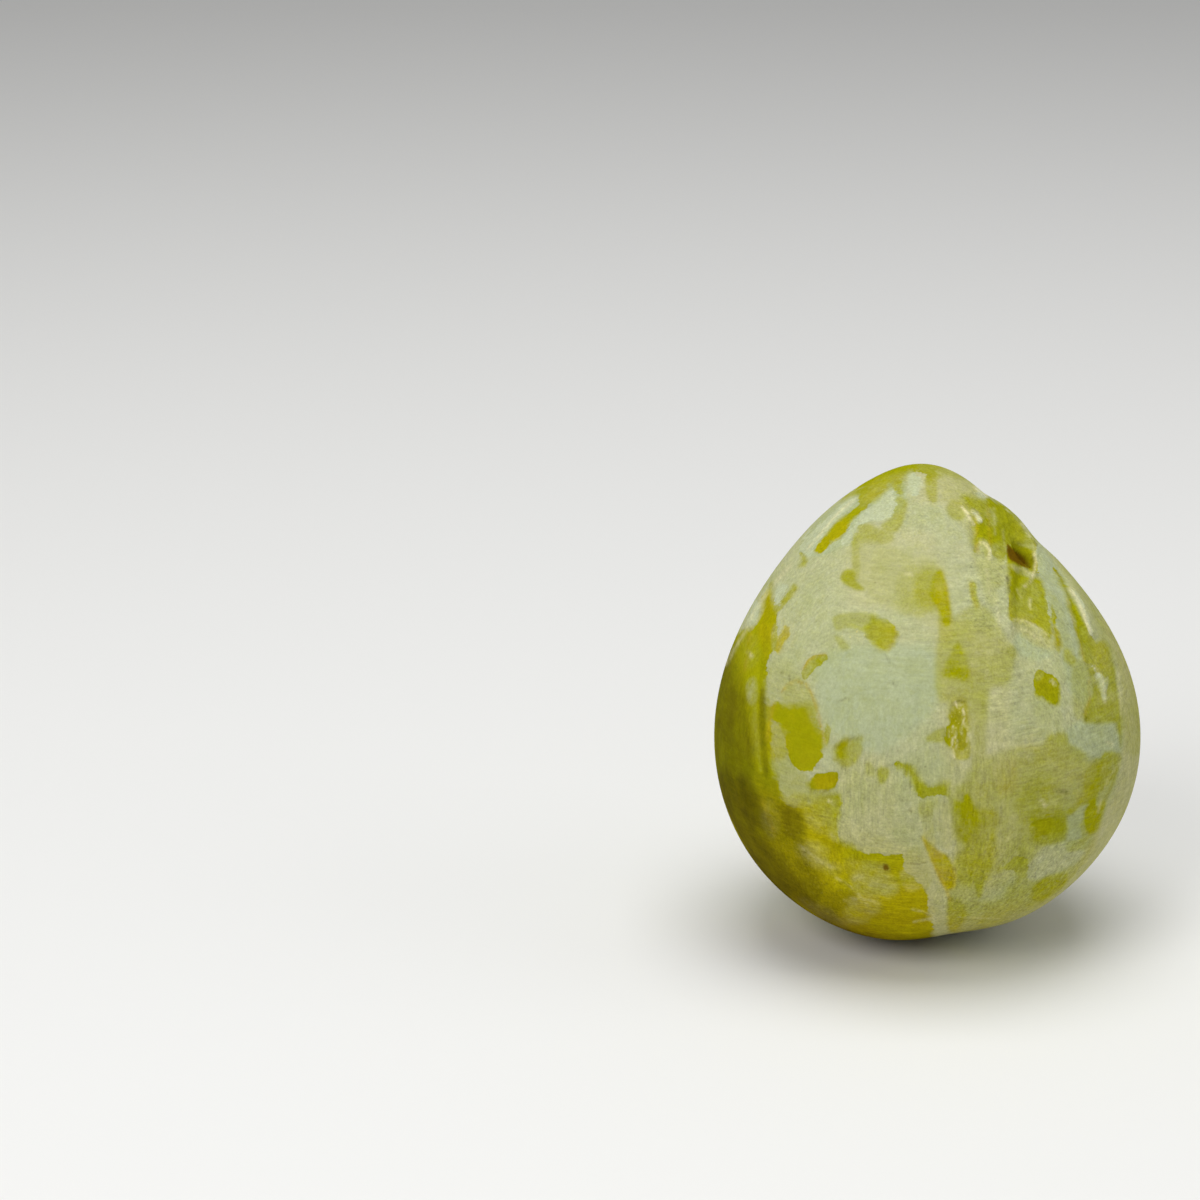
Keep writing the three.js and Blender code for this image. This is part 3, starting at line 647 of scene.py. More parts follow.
# Fine lines: how strong, half width in pixels, line. The cream lines are partly pale scratches and streaks
# and partly painted highlights and glints on rims, ridges, folds and in the scuff.
creamLinesAndHighlights = {
    # painted highlights on the pit's rim and lip, the crown, the lobe fold, the notch, the valley edge and
    # the crescent
    "pit rim": (0.65, 1.7, [(1034, 552), (1036, 562), (1034, 572), (1031, 580), (1025, 586)]),
    "pit lip": (0.3, 2.2, [(1012, 566), (1020, 569), (1030, 574)]),
    "crown edge": (0.8, 1.5, [(962, 507), (967, 513), (971, 520), (974, 525)]),
    "crown knob": (0.8, 2.2, [(973, 512), (978, 515), (981, 519)]),
    "lobe fold": (0.65, 1.6, [(980, 541), (986, 544), (990, 551), (989, 558)]),
    "notch": (0.8, 2, [(975, 487), (980, 491), (986, 496)]),
    "shoulder rim": (0.3, 1.6, [(1022, 524), (1030, 536), (1035, 548)]),
    "valley edge": (0.7, 2.1, [(1070, 588), (1076, 598), (1082, 609), (1086, 620), (1091, 634)]),
    "crescent": (0.32, 1.8, [(1090, 665), (1096, 668), (1102, 677), (1105, 690), (1105, 702)]),
    "beside the crescent": (0.25, 1.6, [(1117, 672), (1120, 695), (1121, 714)]),
    "patch corner": (0.75, 1.2, [(1051, 680), (1055, 684)]),
    "low arc": (0.4, 1.5, [(1013, 620), (1025, 621), (1037, 627), (1047, 635)]),
    "low arc 2": (0.3, 1.4, [(1014, 628), (1026, 630), (1040, 640)]),
    "below the pit": (0.45, 1.8, [(1030, 600), (1030, 608)]),
    "below the pit 2": (0.3, 1.6, [(1017, 590), (1021, 597)]),
    "under the oval": (0.5, 1.5, [(829, 801), (835, 804)]),
    "left side": (0.5, 1.7, [(748, 652), (752, 657)]),
    "left rim": (0.35, 2, [(790, 566), (770, 588), (755, 610), (745, 632), (735, 648), (726, 664)]),
    "streak's upper edge": (0.45, 1.3, [(808, 548), (818, 537), (827, 526), (838, 513), (850, 503),
        (857, 498)]),
    "low scratch": (0.3, 1.1, [(912, 909), (928, 913)]),
    "low scratch 2": (0.3, 1.1, [(914, 922), (934, 918)]),
    "low scratch 3": (0.22, 1.1, [(958, 917), (998, 919)]),
    # painted glints
    "crown glint": (0.35, 1.8, [(906, 574), (912, 574)]),
    "square glint": (0.5, 1.8, [(1041, 801), (1045, 806)]),
    "islet": (0.35, 2, [(1106, 741), (1112, 745)]),
    "pit lane": (0.25, 2, [(996, 598), (1000, 625)]),
    "pit lane 2": (0.2, 1.8, [(985, 562), (990, 592)]),
    # painted glints in the scuff
    "fleck 1": (0.85, 1.3, [(955, 703), (958, 707)]),
    "fleck 2": (0.5, 1.1, [(959, 704), (963, 706)]),
    "fleck 3": (0.75, 1.2, [(963, 709), (964, 715)]),
    "fleck 4": (0.6, 1.1, [(964, 719), (963, 725)]),
    "fleck 5": (0.65, 1.2, [(965, 724), (968, 729)]),
    "fleck 6": (0.5, 1.1, [(961, 728), (962, 734)]),
    "fleck 7": (0.75, 1.1, [(953, 727), (953, 733)]),
    "fleck 8": (0.65, 1.1, [(956, 731), (955, 738)]),
    "fleck 9": (0.8, 1.1, [(953, 738), (952, 746)]),
    "fleck 10": (0.55, 1.1, [(957, 741), (956, 748)]),
    "fleck 11": (0.75, 1.2, [(953, 749), (954, 757)]),
    "fleck 12": (0.4, 1.1, [(968, 733), (967, 741)]),
    "fleck 13": (0.4, 1.1, [(949, 731), (949, 736)]),
    "foot streak": (0.2, 1.6, [(836, 878), (850, 886), (868, 904)]),
    "foot streak 2": (0.2, 1.6, [(845, 900), (862, 898), (880, 903)]),
    "foot streak 3": (0.18, 1.5, [(800, 846), (818, 860), (834, 868)]),
    "shoulder streak": (0.16, 1.4, [(994, 508), (995, 534)]),
    "shoulder streak 2": (0.14, 1.4, [(1003, 530), (1005, 552)]),
    "stripe edge": (0.05, 1.3, [(755, 700), (755, 720), (757, 745), (761, 770)]),
    "rim line": (0.28, 1.5, [(1119, 764), (1109, 777), (1103, 793), (1098, 812)]),
}
goldLines = {
    "small arc": (0.6, 1.3, [(803, 669), (808, 661), (815, 656), (826, 654)]),
    "dome": (0.5, 1.4, [(782, 692), (787, 685), (797, 681), (806, 684), (812, 694), (817, 708),
        (821, 726), (825, 742)]),
    "valley": (0.25, 1.3, [(1067, 600), (1073, 620), (1080, 642), (1084, 660)]),
    "beside the islands": (0.35, 1.5, [(1089, 680), (1090, 698), (1085, 714)]),
    "golden edge": (0.22, 2, [(944, 572), (948, 598), (951, 620)]),
    "run": (0.4, 1.6, [(923, 838), (930, 853), (936, 868), (944, 884), (950, 900)]),
    "left stripe": (0.15, 2.5, [(770, 706), (769, 730)]),
    "lobe edge": (0.35, 1.4, [(974, 534), (976, 550)]),
    "pit side": (0.15, 1.5, [(1009, 596), (1010, 618)]),
    "rubbed streak": (0.2, 1.6, [(971, 583), (973, 598), (977, 607)]),
    "square patch": (0.2, 1.6, [(895, 626), (896, 638), (888, 651)]),
    "shoulder streak": (0.4, 1.8, [(976, 518), (977, 536), (978, 552)]),
    "shoulder streak 2": (0.3, 2, [(988, 506), (989, 526), (990, 544)]),
    "foot streak 4": (0.22, 2, [(762, 800), (768, 816), (775, 834)]),
    "left edge": (0.25, 1.8, [(752, 628), (747, 650), (745, 670)]),
    "second stripe": (0.35, 2, [(774, 705), (770, 720), (767, 738)]),
}
darkLines = {
    "upper nick": (0.75, 1.5, [(1007, 577), (1008, 582)]),
    "lower nick": (0.6, 1.2, [(1008, 588), (1009, 591)]),
    "groove": (0.14, 2.6, [(768, 600), (765, 640), (762, 670), (761, 700), (761, 730), (763, 756),
        (768, 784)]),
    "crease": (0.4, 1.1, [(911, 863), (919, 864), (927, 862)]),
    "specks": (0.4, 1.2, [(786, 666), (787, 669)]),
    "specks 2": (0.4, 1.2, [(789, 676), (790, 680)]),
    "specks 3": (0.4, 1.2, [(781, 674), (783, 671)]),
    "speck 4": (0.45, 1.5, [(910, 810), (911, 811)]),
    "speck 5": (0.55, 2.2, [(1062, 791), (1066, 792)]),
    "speck 6": (0.6, 1.6, [(1086, 718), (1087, 719)]),
    "speck 7": (0.35, 1.5, [(1052, 722), (1055, 722)]),
    "speck 8": (0.4, 1.3, [(893, 683), (896, 686)]),
    "hair": (0.3, 1, [(836, 703), (846, 698), (850, 700)]),
    "hair 2": (0.3, 1, [(884, 653), (890, 662), (897, 668)]),
    "scuff": (0.45, 1.6, [(953, 704), (958, 701), (965, 702)]),
    "eyebrow": (0.35, 1.5, [(835, 748), (842, 742), (850, 739), (858, 738)]),
    "oval": (0.35, 1.3, [(811, 790), (822, 792), (832, 789)]),
    "foot spot": (0.12, 2.4, [(782, 880), (788, 886)]),
    "foot spot 2": (0.1, 2, [(796, 890), (800, 893)]),
    "shoulder streak": (0.2, 1.6, [(982, 520), (983, 540)]),
    # painted shade along the valley
    "valley": (0.22, 1.3, [(1056, 570), (1064, 585), (1070, 600), (1077, 620)]),
    "round the dot": (0.25, 4, [(884, 867), (888, 869)]),
    "groove 2": (0.12, 2.4, [(742, 690), (745, 720), (748, 745), (750, 770)]),
}
strewn = {  # marks on the sides turned away from the camera, in mm
    "bare": {"count": 40, "long": (1.2, 7.0), "wide": (0.7, 2.6)},
    "bare fields": {"count": 7, "long": (7.0, 13.0), "wide": (3.0, 6.0)},
    "waxAndGlint": {"count": 26, "long": (1.5, 6.0), "wide": (0.6, 2.0)},
    "haze": {"count": 26, "long": (4.0, 12.0), "wide": (2.0, 6.0)},
    "turn": 28,              # degrees off the way to the stem
    "bend": (-0.5, 0.5),
    "squareness": (1.6, 4),  # 2 is round
    "torn": 0.45,            # how far the edges stray
    "tears": 4 * mm,         # and how far apart they do
    "seed": 5,
}
painting = {
    "nowhere": -9.0,           # mm, stands for no mark anywhere near
    "margin": 30,              # pixels round an outline in which its edge still counts
    "steps": (0, 0.33, 0.67),  # points put in along each stretch of an outline to round it
    "sway": 16,                # pixels that traced marks wander past the edge of what the camera sees
    "swayStart": (0.02, 0.3),  # radians past it
    "traced": (-0.5, -0.2),    # cosines to the camera between which strewn marks give way to traced ones
    "tracedWaver": 0.12,
    "tracedDeepAndShade": (-0.26, 0.12),   # and plain skin to the traced darker skin and painted shade
    "tracedDeepAndShadeWaver": 0.1,
    "farBloom": 0.84,          # levels where the marks are strewn
    "farBloomClouds": 0.08,
    "farHaze": 0.12,
    "farHazeLess": 0.45,       # so much less bloom in a strewn haze
    "farHazeEdge": (-0.6, 0.8),  # mm, from outside it to inside
    "farWarm": 0.5,
    "farWarmClouds": 0.3,
    "farRough": 0.75,
    "foot": (2 * mm, 12 * mm),  # heights between which the foot ends
    "footLess": 0.3,           # so much less bloom at the foot
    "footRipe": 0.35,
    # painted shade near the floor on the far side
    "footShade": 0.2,
    "nearWall": (0.0, 0.15),   # cosines to the camera between which the pit's near wall ends
    "pitMouth": 3.0 * mm,      # within this of the stem axis the near wall is bare
    "pitEdge": (0.75, 1),      # shares of that between which this ends
    "pitBare": 3.4,            # mm inside the bare skin
    "scar": 1.35 * mm,
    "scarUp": 1.5,             # the scar reaches so much further up the near wall
    "scarEdge": (0.75, 1.1),   # shares of its size between which it ends
    "scarDark": (0.3, 0.8),    # and its dark middle, painted shade at the bottom of the pit
}
lumps = {  # how far apart the lumps of each random field are, seed
    "sway": (9 * mm, 1),
    "upSway": (9 * mm, 2),
    "traced": (9 * mm, 3),
    "bloom": (12 * mm, 4),
    "haze": (7 * mm, 6),
    "warm": (14 * mm, 7),
    "tracedDeepAndShade": (8 * mm, 8),
}
layers = {  # the marks of each layer, and its level where there are none
    "bloom": (softMarks, 0.93),
    "haze": (hazeMarks, 0.0),
    "ripe": (ripeMarks, 0.0),
    "warm": (warmMarks, 0.5),
    "deepAndShade": (deepAndShadeMarks, 0.0),
    "scuff": (scuffAndGlintMarks, 0.0),
    "rough": (roughMarks, 0.75),
    "slot": (scarAndPitShadowMarks, 0.0),
}


def unrolled(places, normals):  # as onView, with the far side laid out flat beyond the outline
    pixels = onView(places)
    beyond = np.arcsin(np.clip(-facing(places, normals), 0, 1))
    outward = unit(pixels - onView(belly[None]))
    sway = np.stack((wander(places, *lumps["sway"]), wander(places, *lumps["upSway"])), 1)
    sway *= painting["sway"] * smoothstep(*painting["swayStart"], beyond)[:, None]
    return pixels + outward * (beyond * shape["crown"] / mm * view["pixelsPerMm"])[:, None] + sway


def rounded(outline):  # the outline with its corners rounded
    ends = np.array(outline, float)
    before, after, next2 = np.roll(ends, 1, 0), np.roll(ends, -1, 0), np.roll(ends, -2, 0)
    points = []
    for t in painting["steps"]:
        points.append(0.5 * (2 * ends + (after - before) * t
                             + (2 * before - 5 * ends + 4 * after - next2) * t ** 2
                             + (3 * ends - before - 3 * after + next2) * t ** 3))
    return np.stack(points, 1).reshape(-1, 2)


def within(pixels, outline):  # how far inside an outline each pixel is, below 0 outside
    outline = rounded(outline)
    low, high = outline.min(0) - painting["margin"], outline.max(0) + painting["margin"]
    close = np.all((pixels > low) & (pixels < high), 1)
    points = pixels[close]
    inside = np.zeros(len(points), bool)
    for (x0, y0), (x1, y1) in zip(outline, np.roll(outline, -1, 0)):
        crosses = (y0 > points[:, 1]) != (y1 > points[:, 1])
        slope = (x1 - x0) / (y1 - y0) if y1 != y0 else 0
        inside ^= crosses & (points[:, 0] < x0 + slope * (points[:, 1] - y0))
    depth = np.full(len(pixels), painting["nowhere"] * view["pixelsPerMm"])
    distance = nearLine(points, np.vstack((outline, outline[:1])))
    depth[close] = np.where(inside, distance, -distance)
    return depth


def deepest(pixels, marks):  # how far inside any mark, in mm, less where its edge is soft
    depths = [within(pixels, outline) * crisp for crisp, outline in marks.values()]
    return np.max(depths, 0) / view["pixelsPerMm"]


def layOn(pixels, marks, level):
    level = np.full(len(pixels), level)
    for amount, blur, outline in marks.values():
        share = smoothstep(-blur / 2, blur / 2, within(pixels, outline))
        level = level + (amount - level) * share
    return level


def drawn(pixels, lines):
    strength = np.zeros(len(pixels))
    for amount, halfWidth, line in lines.values():
        strength = np.maximum(strength, amount * np.exp(-(nearLine(pixels, line) / halfWidth) ** 2))
    return strength


def strew(rng, places, normals, far, kind):  # how far inside any of some random marks each point is in mm
    depth = np.full(len(places), painting["nowhere"])
    ways = unit(places - belly)
    torn = np.stack([wander(places, strewn["tears"], rng.random()) for _ in range(3)], 1)
    torn *= strewn["torn"]
    made = 0
    while made < kind["count"]:
        centre = np.argmax(ways @ unit(np.array([rng.gauss(0, 1) for _ in range(3)])))
        if not far[centre]:
            continue
        made += 1
        out = normals[centre]
        along = unit(stem - out * (stem @ out))
        across = np.cross(out, along)
        turn = math.radians(rng.gauss(0, strewn["turn"]))
        along, across = (along * math.cos(turn) + across * math.sin(turn),
                         across * math.cos(turn) - along * math.sin(turn))
        long = 0.5 * rng.uniform(*kind["long"])
        wide = 0.5 * rng.uniform(*kind["wide"])
        bend, squareness = rng.uniform(*strewn["bend"]), rng.uniform(*strewn["squareness"])
        offset = (places - places[centre]) / mm + torn
        lengthwise = offset @ along / long
        sideways = offset @ across / wide - bend * lengthwise ** 2
        reach = (np.abs(lengthwise) ** squareness + np.abs(sideways) ** squareness) ** (1 / squareness)
        here = np.where(offset @ out > -long, (1 - reach) * min(long, wide), painting["nowhere"])
        depth = np.maximum(depth, here)
    return depth


def paint(mesh, name, values):
    layer = mesh.attributes.new(name, "FLOAT", "POINT")
    layer.data.foreach_set("value", values.astype(np.float32))


def paintSkin(mesh):
    places, normals = read(mesh, "co"), read(mesh, "normal")
    front = facing(places, normals)
    pixels = unrolled(places, normals)
    waver = np.clip(wander(places, *lumps["traced"]), -1, 1) * painting["tracedWaver"]
    seen = smoothstep(*painting["traced"], front + waver)
    rng = random.Random(strewn["seed"])
    depths = {}
    for kind in ("bare", "bare fields", "waxAndGlint", "haze"):
        depths[kind] = strew(rng, places, normals, seen < 0.5, strewn[kind])
    levels = {}
    for name, (marks, level) in layers.items():
        levels[name] = layOn(pixels, marks, level)
    low = 1 - smoothstep(*painting["foot"], places[:, 2])
    hazy = smoothstep(*painting["farHazeEdge"], depths["haze"])
    less = painting["farHazeLess"] * hazy + painting["footLess"] * low
    clouds = {name: wander(places, *lumps[name]) for name in ("bloom", "haze", "warm")}
    far = {
        "bloom": painting["farBloom"] - less + painting["farBloomClouds"] * clouds["bloom"],
        "haze": painting["farHaze"] * (1 + clouds["haze"]),
        "warm": painting["farWarm"] + painting["farWarmClouds"] * clouds["warm"],
        "rough": painting["farRough"],
        "scuff": 0.0,
    }
    for name, level in far.items():
        paint(mesh, name, seen * levels[name] + (1 - seen) * level)
    paint(mesh, "ripe", np.clip(seen * levels["ripe"] + painting["footRipe"] * low, 0, 1))
    # darker skin and painted shade, traced in front, and painted shade near the floor on the far side
    waver = wander(places, *lumps["tracedDeepAndShade"]) * painting["tracedDeepAndShadeWaver"]
    tracedDeepAndShade = smoothstep(*painting["tracedDeepAndShade"], front + waver)
    paint(mesh, "deepAndShade", tracedDeepAndShade * levels["deepAndShade"] + (1 - tracedDeepAndShade) * painting["footShade"] * low)
    # thick bloom and painted highlights
    paint(mesh, "waxAndGlint", seen * deepest(pixels, waxAndGlintMarks) + (1 - seen) * depths["waxAndGlint"])

    # bare skin, also on the near wall of the pit
    fruit = places - belly
    upper = fruit @ stem > 0
    girth = np.linalg.norm(fruit - np.outer(fruit @ stem, stem), axis=1)
    hidden = 1 - smoothstep(*painting["nearWall"], front)
    hidden *= upper * (1 - smoothstep(*painting["pitEdge"], girth / painting["pitMouth"]))
    farBare = np.maximum(depths["bare"], depths["bare fields"])
    bare = seen * deepest(pixels, bareMarks) + (1 - seen) * farBare
    paint(mesh, "bare", bare + hidden * (painting["pitBare"] - bare))

    # fine lines and the scar
    inFront = front > 0
    # gold lines, dark lines, and cream lines that are partly painted highlights and glints
    for name, lines in (("creamAndHighlight", creamLinesAndHighlights), ("gold", goldLines), ("dark", darkLines)):
        paint(mesh, name, inFront * drawn(pixels, lines))
    # the scar in the pit, darker towards its middle as painted shade, and the traced slot with its painted
    # shadow
    reach = girth / (painting["scar"] * np.where(inFront, 1, painting["scarUp"]))
    scar = (1 - smoothstep(*painting["scarEdge"], reach)) * (2 - smoothstep(*painting["scarDark"], reach))
    scar *= upper & (girth < painting["pitMouth"])
    paint(mesh, "scar", np.maximum(scar, inFront * levels["slot"]))


paintSkin(skin.data)
print("bloom painted")


colours = {  # sRGB
    "green": (150, 152, 6),
    "yellow": (172, 160, 6),
    "brown": (122, 92, 4),
    "coolBloom": (172, 180, 141),
    "warmBloom": (184, 182, 136),
    # thick bloom, also the colour of painted highlights
    "thickBloomAndGlint": (184, 190, 153),
    "scar": (104, 78, 6),
    "speck": (84, 84, 20),
    # darker skin, also the colour of painted shade
    "deepAndShade": (60, 50, 0),
    # pale grains and painted glints
    "grain": (232, 220, 130),
    # pale lines and painted highlights
    "creamAndHighlight": (226, 218, 168),
    "gold": (178, 150, 40),
    # dark lines, one of them painted shade along the valley
    "dark": (70, 62, 8),
    # painted shade deep in the pit
    "pit": (72, 46, 4),
}
finish = {
    "bareRoughness": 0.36,
    "bloomRoughness": 0.60,
    "shine": 0.0,         # specular level, 0.5 is usual
    "coat": 0.015,        # on the bare skin
    "coatRoughness": 0.2,
    "glow": 0.10,         # light that goes in and comes out again
    "glowDepth": 3 * mm,
    "glowReach": (1.0, 0.8, 0.25),
    "relief": 0.10 * mm,
    "reliefStrength": 0.6,
    "bloomHeight": 0.3,
    "leastHaze": 0.005,
    "waxBloom": 0.95,
    "edges": {"Ragged": 0.7, "Soft": 0.16},
    "edgeStreaks": 0.6,   # how far the streaks push the edges, in mm
    "brushes": {"streaks": 1500, "hairs": 3800},  # scales of the fine lines
    "lies": ((0.14, 0.14, 1), (1, 1, 0.12)),      # which are level in some places, upright in others
    "scratches": {"Stretch": (1, 1, 0.35), "Scale": 520, "Width": 0.008},
    "scratchBloom": -0.15,
    "dots": {"Scale": 640, "Size": 0.10, "Share": 0.3},
    "dotStrength": 0.4,
    "glintGrains": {"Scale": 2600, "Size": 0.42, "Share": 0.45},
}
patterns = {  # noise: scale, detail, roughness
    "lie": (70, 1, 0.5),
    "ripeClouds": (95, 3, 0.5),
    "clouds": (170, 5, 0.6),
    "drifts": (420, 4, 0.6),
    "spots": (1000, 3, 0.6),
    "pores": (1100, 2, 0.6),
    "breaks": (1300, 2, 0.6),
    "grain": (3000, 2, 0.6),
    "dust": (4000, 1, 0.8),
}
recipes = {  # how much of each pattern goes into what
    "bloom": {"clouds": 0.7, "drifts": 0.45, "streaks": 0.4, "grain": 0.25, "worn": -0.12},
    "haze": {"drifts": 3.0, "spots": 2.5, "streaks": 2.0},
    "waxAndGlint": {"drifts": 0.3, "grain": 0.2, "streaks": 0.25},
    "ripe": {"ripeClouds": 0.5, "drifts": 0.25, "grain": 0.2},
    "deepAndShade": {"clouds": 0.5, "drifts": 0.3},
    "warm": {"clouds": 0.8, "grain": 0.4},
    "broken": {"breaks": 1.0, "drifts": 1.0},
    "scar": {"grain": 0.8},
    "mottling": {"dust": 0.6, "hairs": 0.8, "pores": 0.45},
    "height": {"clouds": 1.0, "drifts": 0.6, "streaks": 0.35, "grain": 0.15},
}
eased = {  # levels between which one thing gives way to the next
    "upright": (-0.06, 0.06),
    "worn": (0.06, 0.12),
    "yellow": (-0.1, 0.4),
    "brown": (0.45, 1.1),
    "deepAndShade": (0.0, 1.1),
    "warm": (0.0, 1.0),
    "broken": (-0.22, 0.10, 0.25, 1.0),  # never less than a quarter
    # from the scar to painted shade deep in the pit
    "pit": (0.9, 1.7),
}


def linear(shade):  # from sRGB
    return [*(((c / 255 + 0.055) / 1.055) ** 2.4 for c in shade), 1]


def node(tree, kind, inputs=None, **settings):
    made = tree.nodes.new("ShaderNode" + kind)
    for name, value in settings.items():
        setattr(made, name, value)
    for name, value in (inputs or {}).items():
        if isinstance(value, bpy.types.NodeSocket):
            tree.links.new(value, made.inputs[name])
        else:
            made.inputs[name].default_value = value
    return made


def maths(tree, operation, *values):
    return node(tree, "Math", dict(enumerate(values)), operation=operation).outputs[0]


def noise(tree, inputs):  # around 0
    return maths(tree, "SUBTRACT", node(tree, "TexNoise", inputs).outputs["Fac"], 0.5)


def stretch(tree, given):
    made = node(tree, "VectorMath", {0: given["Vector"], 1: given["Stretch"]}, operation="MULTIPLY")
    return made.outputs[0]


def mix(tree, share, first, second):
    return node(tree, "Mix", {0: share, 2: first, 3: second}).outputs[0]


def blend(tree, share, first, second):  # between two colours
    return node(tree, "Mix", {0: share, 6: first, 7: second}, data_type="RGBA").outputs[2]


def ramp(tree, value, low, high, fromLow=0.0, toHigh=1.0):  # eases from one value to another
    inputs = {"Value": value, "From Min": low, "From Max": high, "To Min": fromLow, "To Max": toHigh}
    return node(tree, "MapRange", inputs, interpolation_type="SMOOTHSTEP").outputs["Result"]


def newGroup(name, inputs, output):
    group = bpy.data.node_groups.new(name, "ShaderNodeTree")
    for label, kind in inputs.items():
        group.interface.new_socket(label, in_out="INPUT", socket_type="NodeSocket" + kind)
    group.interface.new_socket(output, in_out="OUTPUT", socket_type="NodeSocketFloat")
    return group, group.nodes.new("NodeGroupInput").outputs, group.nodes.new("NodeGroupOutput").inputs[0]


def useGroup(tree, group, inputs):
    return node(tree, "Group", inputs, node_tree=group).outputs[0]


def makeEdgeGroup():  # a mark's painted distance, as a patch with a ragged edge, here crisp, there soft
    inputs = {"Vector": "Vector", "Distance": "Float", "Ragged": "Float", "Soft": "Float", "Push": "Float"}
    group, given, out = newGroup("markEdge", inputs, "Patch")
    wide = noise(group, {"Vector": given["Vector"], "Scale": 620, "Detail": 3, "Roughness": 0.6})
    shift = maths(group, "MULTIPLY", wide, given["Ragged"])
    edge = maths(group, "ADD", maths(group, "ADD", given["Distance"], shift), given["Push"])
    where = node(group, "TexNoise", {"Vector": given["Vector"], "Scale": 260, "Detail": 1})
    spread = ramp(group, where.outputs["Fac"], 0.40, 0.62, fromLow=0.3, toHigh=2.4)
    soft = maths(group, "MULTIPLY", given["Soft"], spread)
    group.links.new(ramp(group, edge, maths(group, "MULTIPLY", soft, -1.0), soft), out)
    return group


def makeBrushGroup():  # fine streaks, longer one way than the other
    group, given, out = newGroup("brushed", {"Vector": "Vector", "Stretch": "Vector", "Scale": "Float"},
                                 "Streaks")
    inputs = {"Vector": stretch(group, given), "Scale": given["Scale"], "Detail": 3, "Roughness": 0.65}
    group.links.new(noise(group, inputs), out)
    return group


def makeSpeckGroup():  # small round dots, some cells without one
    group, given, out = newGroup("specks", {"Vector": "Vector", "Scale": "Float", "Size": "Float",
                                            "Share": "Float"}, "Dots")
    cells = node(group, "TexVoronoi", {"Vector": given["Vector"], "Scale": given["Scale"]})
    spread = node(group, "SeparateColor", {"Color": cells.outputs["Color"]})
    kept = maths(group, "LESS_THAN", spread.outputs[0], given["Share"])
    size = maths(group, "MULTIPLY", given["Size"], maths(group, "ADD", spread.outputs[1], 0.4))
    dot = ramp(group, cells.outputs["Distance"], 0.0, size, fromLow=1.0, toHigh=0.0)
    group.links.new(maths(group, "MULTIPLY", dot, kept), out)
    return group


def makeScratchGroup():  # hair lines, broken up
    group, given, out = newGroup("scratches", {"Vector": "Vector", "Stretch": "Vector", "Scale": "Float",
                                               "Width": "Float"}, "Lines")
    bent = noise(group, {"Vector": stretch(group, given), "Scale": given["Scale"], "Detail": 1})
    line = ramp(group, maths(group, "ABSOLUTE", bent), 0.0, given["Width"], fromLow=1.0, toHigh=0.0)
    gaps = node(group, "TexNoise", {"Vector": given["Vector"], "Scale": 330, "Detail": 2})
    kept = ramp(group, gaps.outputs["Fac"], 0.52, 0.62)
    group.links.new(maths(group, "MULTIPLY", line, kept), out)
    return group


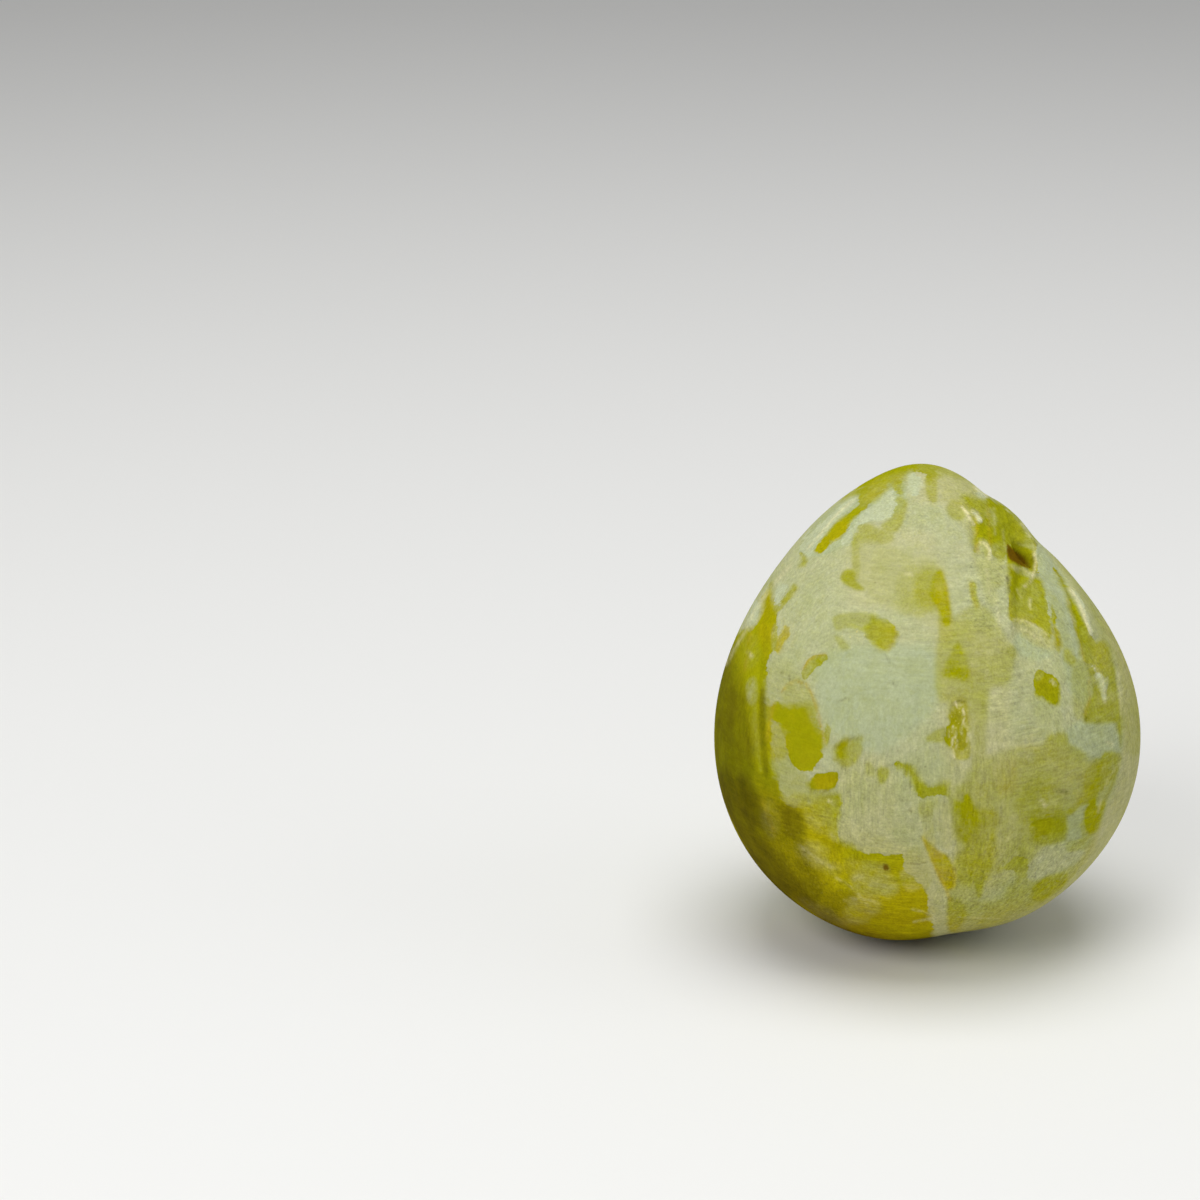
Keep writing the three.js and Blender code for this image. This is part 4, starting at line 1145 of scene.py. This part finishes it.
def makeSkinMaterial():
    material = bpy.data.materials.new("plumSkin")
    material.use_nodes = True
    tree = material.node_tree
    tree.nodes.clear()
    place = {"Vector": node(tree, "TexCoord").outputs["Object"]}
    edgeGroup, brushGroup = makeEdgeGroup(), makeBrushGroup()
    speckGroup, scratchGroup = makeSpeckGroup(), makeScratchGroup()
    shade = {name: linear(colour) for name, colour in colours.items()}
    painted = {name: node(tree, "Attribute", attribute_name=name).outputs["Fac"]
               for name in ("bloom", "bare", "waxAndGlint", "haze", "ripe", "warm", "deepAndShade", "scuff", "scar",
                            "rough", "creamAndHighlight", "gold", "dark")}
    pattern = {name: noise(tree, {**place, "Scale": scale, "Detail": detail, "Roughness": roughness})
               for name, (scale, detail, roughness) in patterns.items()}
    upright = ramp(tree, pattern["lie"], *eased["upright"])
    for name, scale in finish["brushes"].items():
        level, risen = [useGroup(tree, brushGroup, {**place, "Stretch": way, "Scale": scale})
                        for way in finish["lies"]]
        pattern[name] = mix(tree, upright, level, risen)
    pattern["worn"] = ramp(tree, pattern["drifts"], *eased["worn"])

    def add(first, second):
        return maths(tree, "ADD", first, second)

    def times(first, second):
        return maths(tree, "MULTIPLY", first, second)

    def mixed(recipe, total):  # the patterns of a recipe added to a level
        for name, amount in recipes[recipe].items():
            total = add(total, times(pattern[name], amount))
        return total

    def laid(colour, share, name):  # a colour laid over another
        return blend(tree, share, colour, shade[name])

    # bloom: clouds, lines both ways, worn patches and grain, rubbed off where the skin is bare
    edges = {**place, **finish["edges"], "Push": times(pattern["streaks"], finish["edgeStreaks"])}
    # thick bloom and painted highlights
    waxAndGlint = useGroup(tree, edgeGroup, {**edges, "Distance": painted["waxAndGlint"]})
    bare = useGroup(tree, edgeGroup, {**edges, "Distance": painted["bare"]})
    haze = times(add(painted["haze"], finish["leastHaze"]), mixed("haze", 1.0))
    bloom = mix(tree, bare, mixed("bloom", painted["bloom"]), haze)
    bloom = mix(tree, waxAndGlint, bloom, mixed("waxAndGlint", finish["waxBloom"]))
    scratches = useGroup(tree, scratchGroup, {**place, **finish["scratches"]})
    bloom = add(bloom, times(scratches, finish["scratchBloom"]))
    bloom = maths(tree, "MAXIMUM", maths(tree, "MINIMUM", bloom, 1.0), 0.0)

    # the skin under the bloom
    ripeness = mixed("ripe", painted["ripe"])
    under = laid(shade["green"], ramp(tree, ripeness, *eased["yellow"]), "yellow")
    under = laid(under, ramp(tree, ripeness, *eased["brown"]), "brown")
    # darker skin and painted shade
    under = laid(under, ramp(tree, mixed("deepAndShade", painted["deepAndShade"]), *eased["deepAndShade"]), "deepAndShade")

    # the bloom over it, with painted highlights among the thick bloom, then specks, the scar and a fine
    # mottling of the whole
    warmth = ramp(tree, mixed("warm", painted["warm"]), *eased["warm"])
    powder = laid(shade["coolBloom"], warmth, "warmBloom")
    colour = blend(tree, bloom, under, laid(powder, waxAndGlint, "thickBloomAndGlint"))
    dots = useGroup(tree, speckGroup, {**place, **finish["dots"]})
    colour = laid(colour, times(dots, finish["dotStrength"]), "speck")
    # pale grains and painted glints over the scuffs
    glintGrains = useGroup(tree, speckGroup, {**place, **finish["glintGrains"]})
    colour = laid(colour, times(glintGrains, painted["scuff"]), "grain")
    broken = ramp(tree, mixed("broken", 0.0), *eased["broken"])
    # gold lines, dark lines with painted shade along the valley, and cream lines that are partly painted
    # highlights
    for name in ("gold", "dark", "creamAndHighlight"):
        colour = laid(colour, times(painted[name], broken), name)
    # the dry scar, and painted shade deeper in the pit
    dry = laid(shade["scar"], ramp(tree, mixed("scar", painted["scar"]), *eased["pit"]), "pit")
    colour = blend(tree, maths(tree, "MINIMUM", painted["scar"], 1.0), colour, dry)
    mottling = add(times(mixed("mottling", 0.0), painted["rough"]), 1.0)
    colour = node(tree, "VectorMath", {0: colour, "Scale": mottling}, operation="SCALE").outputs[0]

    height = add(mixed("height", 0.5), times(bloom, finish["bloomHeight"]))
    bump = node(tree, "Bump", {"Height": height, "Distance": finish["relief"],
                               "Strength": finish["reliefStrength"]})
    surface = node(tree, "BsdfPrincipled", {
        "Base Color": colour,
        "Roughness": mix(tree, bloom, finish["bareRoughness"], finish["bloomRoughness"]),
        "Normal": bump.outputs["Normal"],
        "Specular IOR Level": finish["shine"],
        "Coat Roughness": finish["coatRoughness"],
        "Coat Weight": times(maths(tree, "SUBTRACT", 1.0, bloom), finish["coat"]),
        "Subsurface Weight": finish["glow"],
        "Subsurface Radius": finish["glowReach"],
        "Subsurface Scale": finish["glowDepth"],
    })
    output = node(tree, "OutputMaterial")
    tree.links.new(surface.outputs["BSDF"], output.inputs["Surface"])
    return material


skin.data.materials.clear()
skin.data.materials.append(makeSkinMaterial())
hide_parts("plum")
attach(skin, "root")
print("skin coloured")


studio = {
    "floorSide": 6.0,
    "floorColour": (236, 236, 234),
    "floorRoughness": 0.8,
    "sky": 0.30,
    "lights": {
        "overhead": {"place": (0.0, -0.05, 0.70), "side": 0.50, "power": 3.0},
        "front": {"place": (-0.40, -0.50, 0.50), "side": 0.40, "power": 2.3},
        "side": {"place": (0.60, -0.10, 0.35), "side": 0.40, "power": 0.45},
    },
}


def makeFloor():
    bpy.ops.mesh.primitive_plane_add(size=studio["floorSide"])
    floor = bpy.context.object
    floor.name = "floor"
    material = bpy.data.materials.new("paper")
    material.use_nodes = True
    surface = material.node_tree.nodes["Principled BSDF"]
    surface.inputs["Base Color"].default_value = linear(studio["floorColour"])
    surface.inputs["Roughness"].default_value = studio["floorRoughness"]
    floor.data.materials.append(material)


def makeLight(name, facts):
    bpy.ops.object.light_add(type="AREA", location=facts["place"])
    light = bpy.context.object
    light.name = name
    light.data.size = facts["side"]
    light.data.energy = facts["power"]
    aim = unit(belly - np.array(facts["place"]))
    light.rotation_euler = (math.acos(-aim[2]), 0, math.atan2(aim[1], aim[0]) - math.pi / 2)


def makeSky():
    world = bpy.data.worlds.new("studio")
    world.use_nodes = True
    background = world.node_tree.nodes["Background"]
    background.inputs["Color"].default_value = (1, 1, 1, 1)
    background.inputs["Strength"].default_value = studio["sky"]
    bpy.context.scene.world = world


makeFloor()
for name, facts in studio["lights"].items():
    makeLight(name, facts)
makeSky()
bpy.context.scene.view_settings.view_transform = "Standard"
print("studio ready")
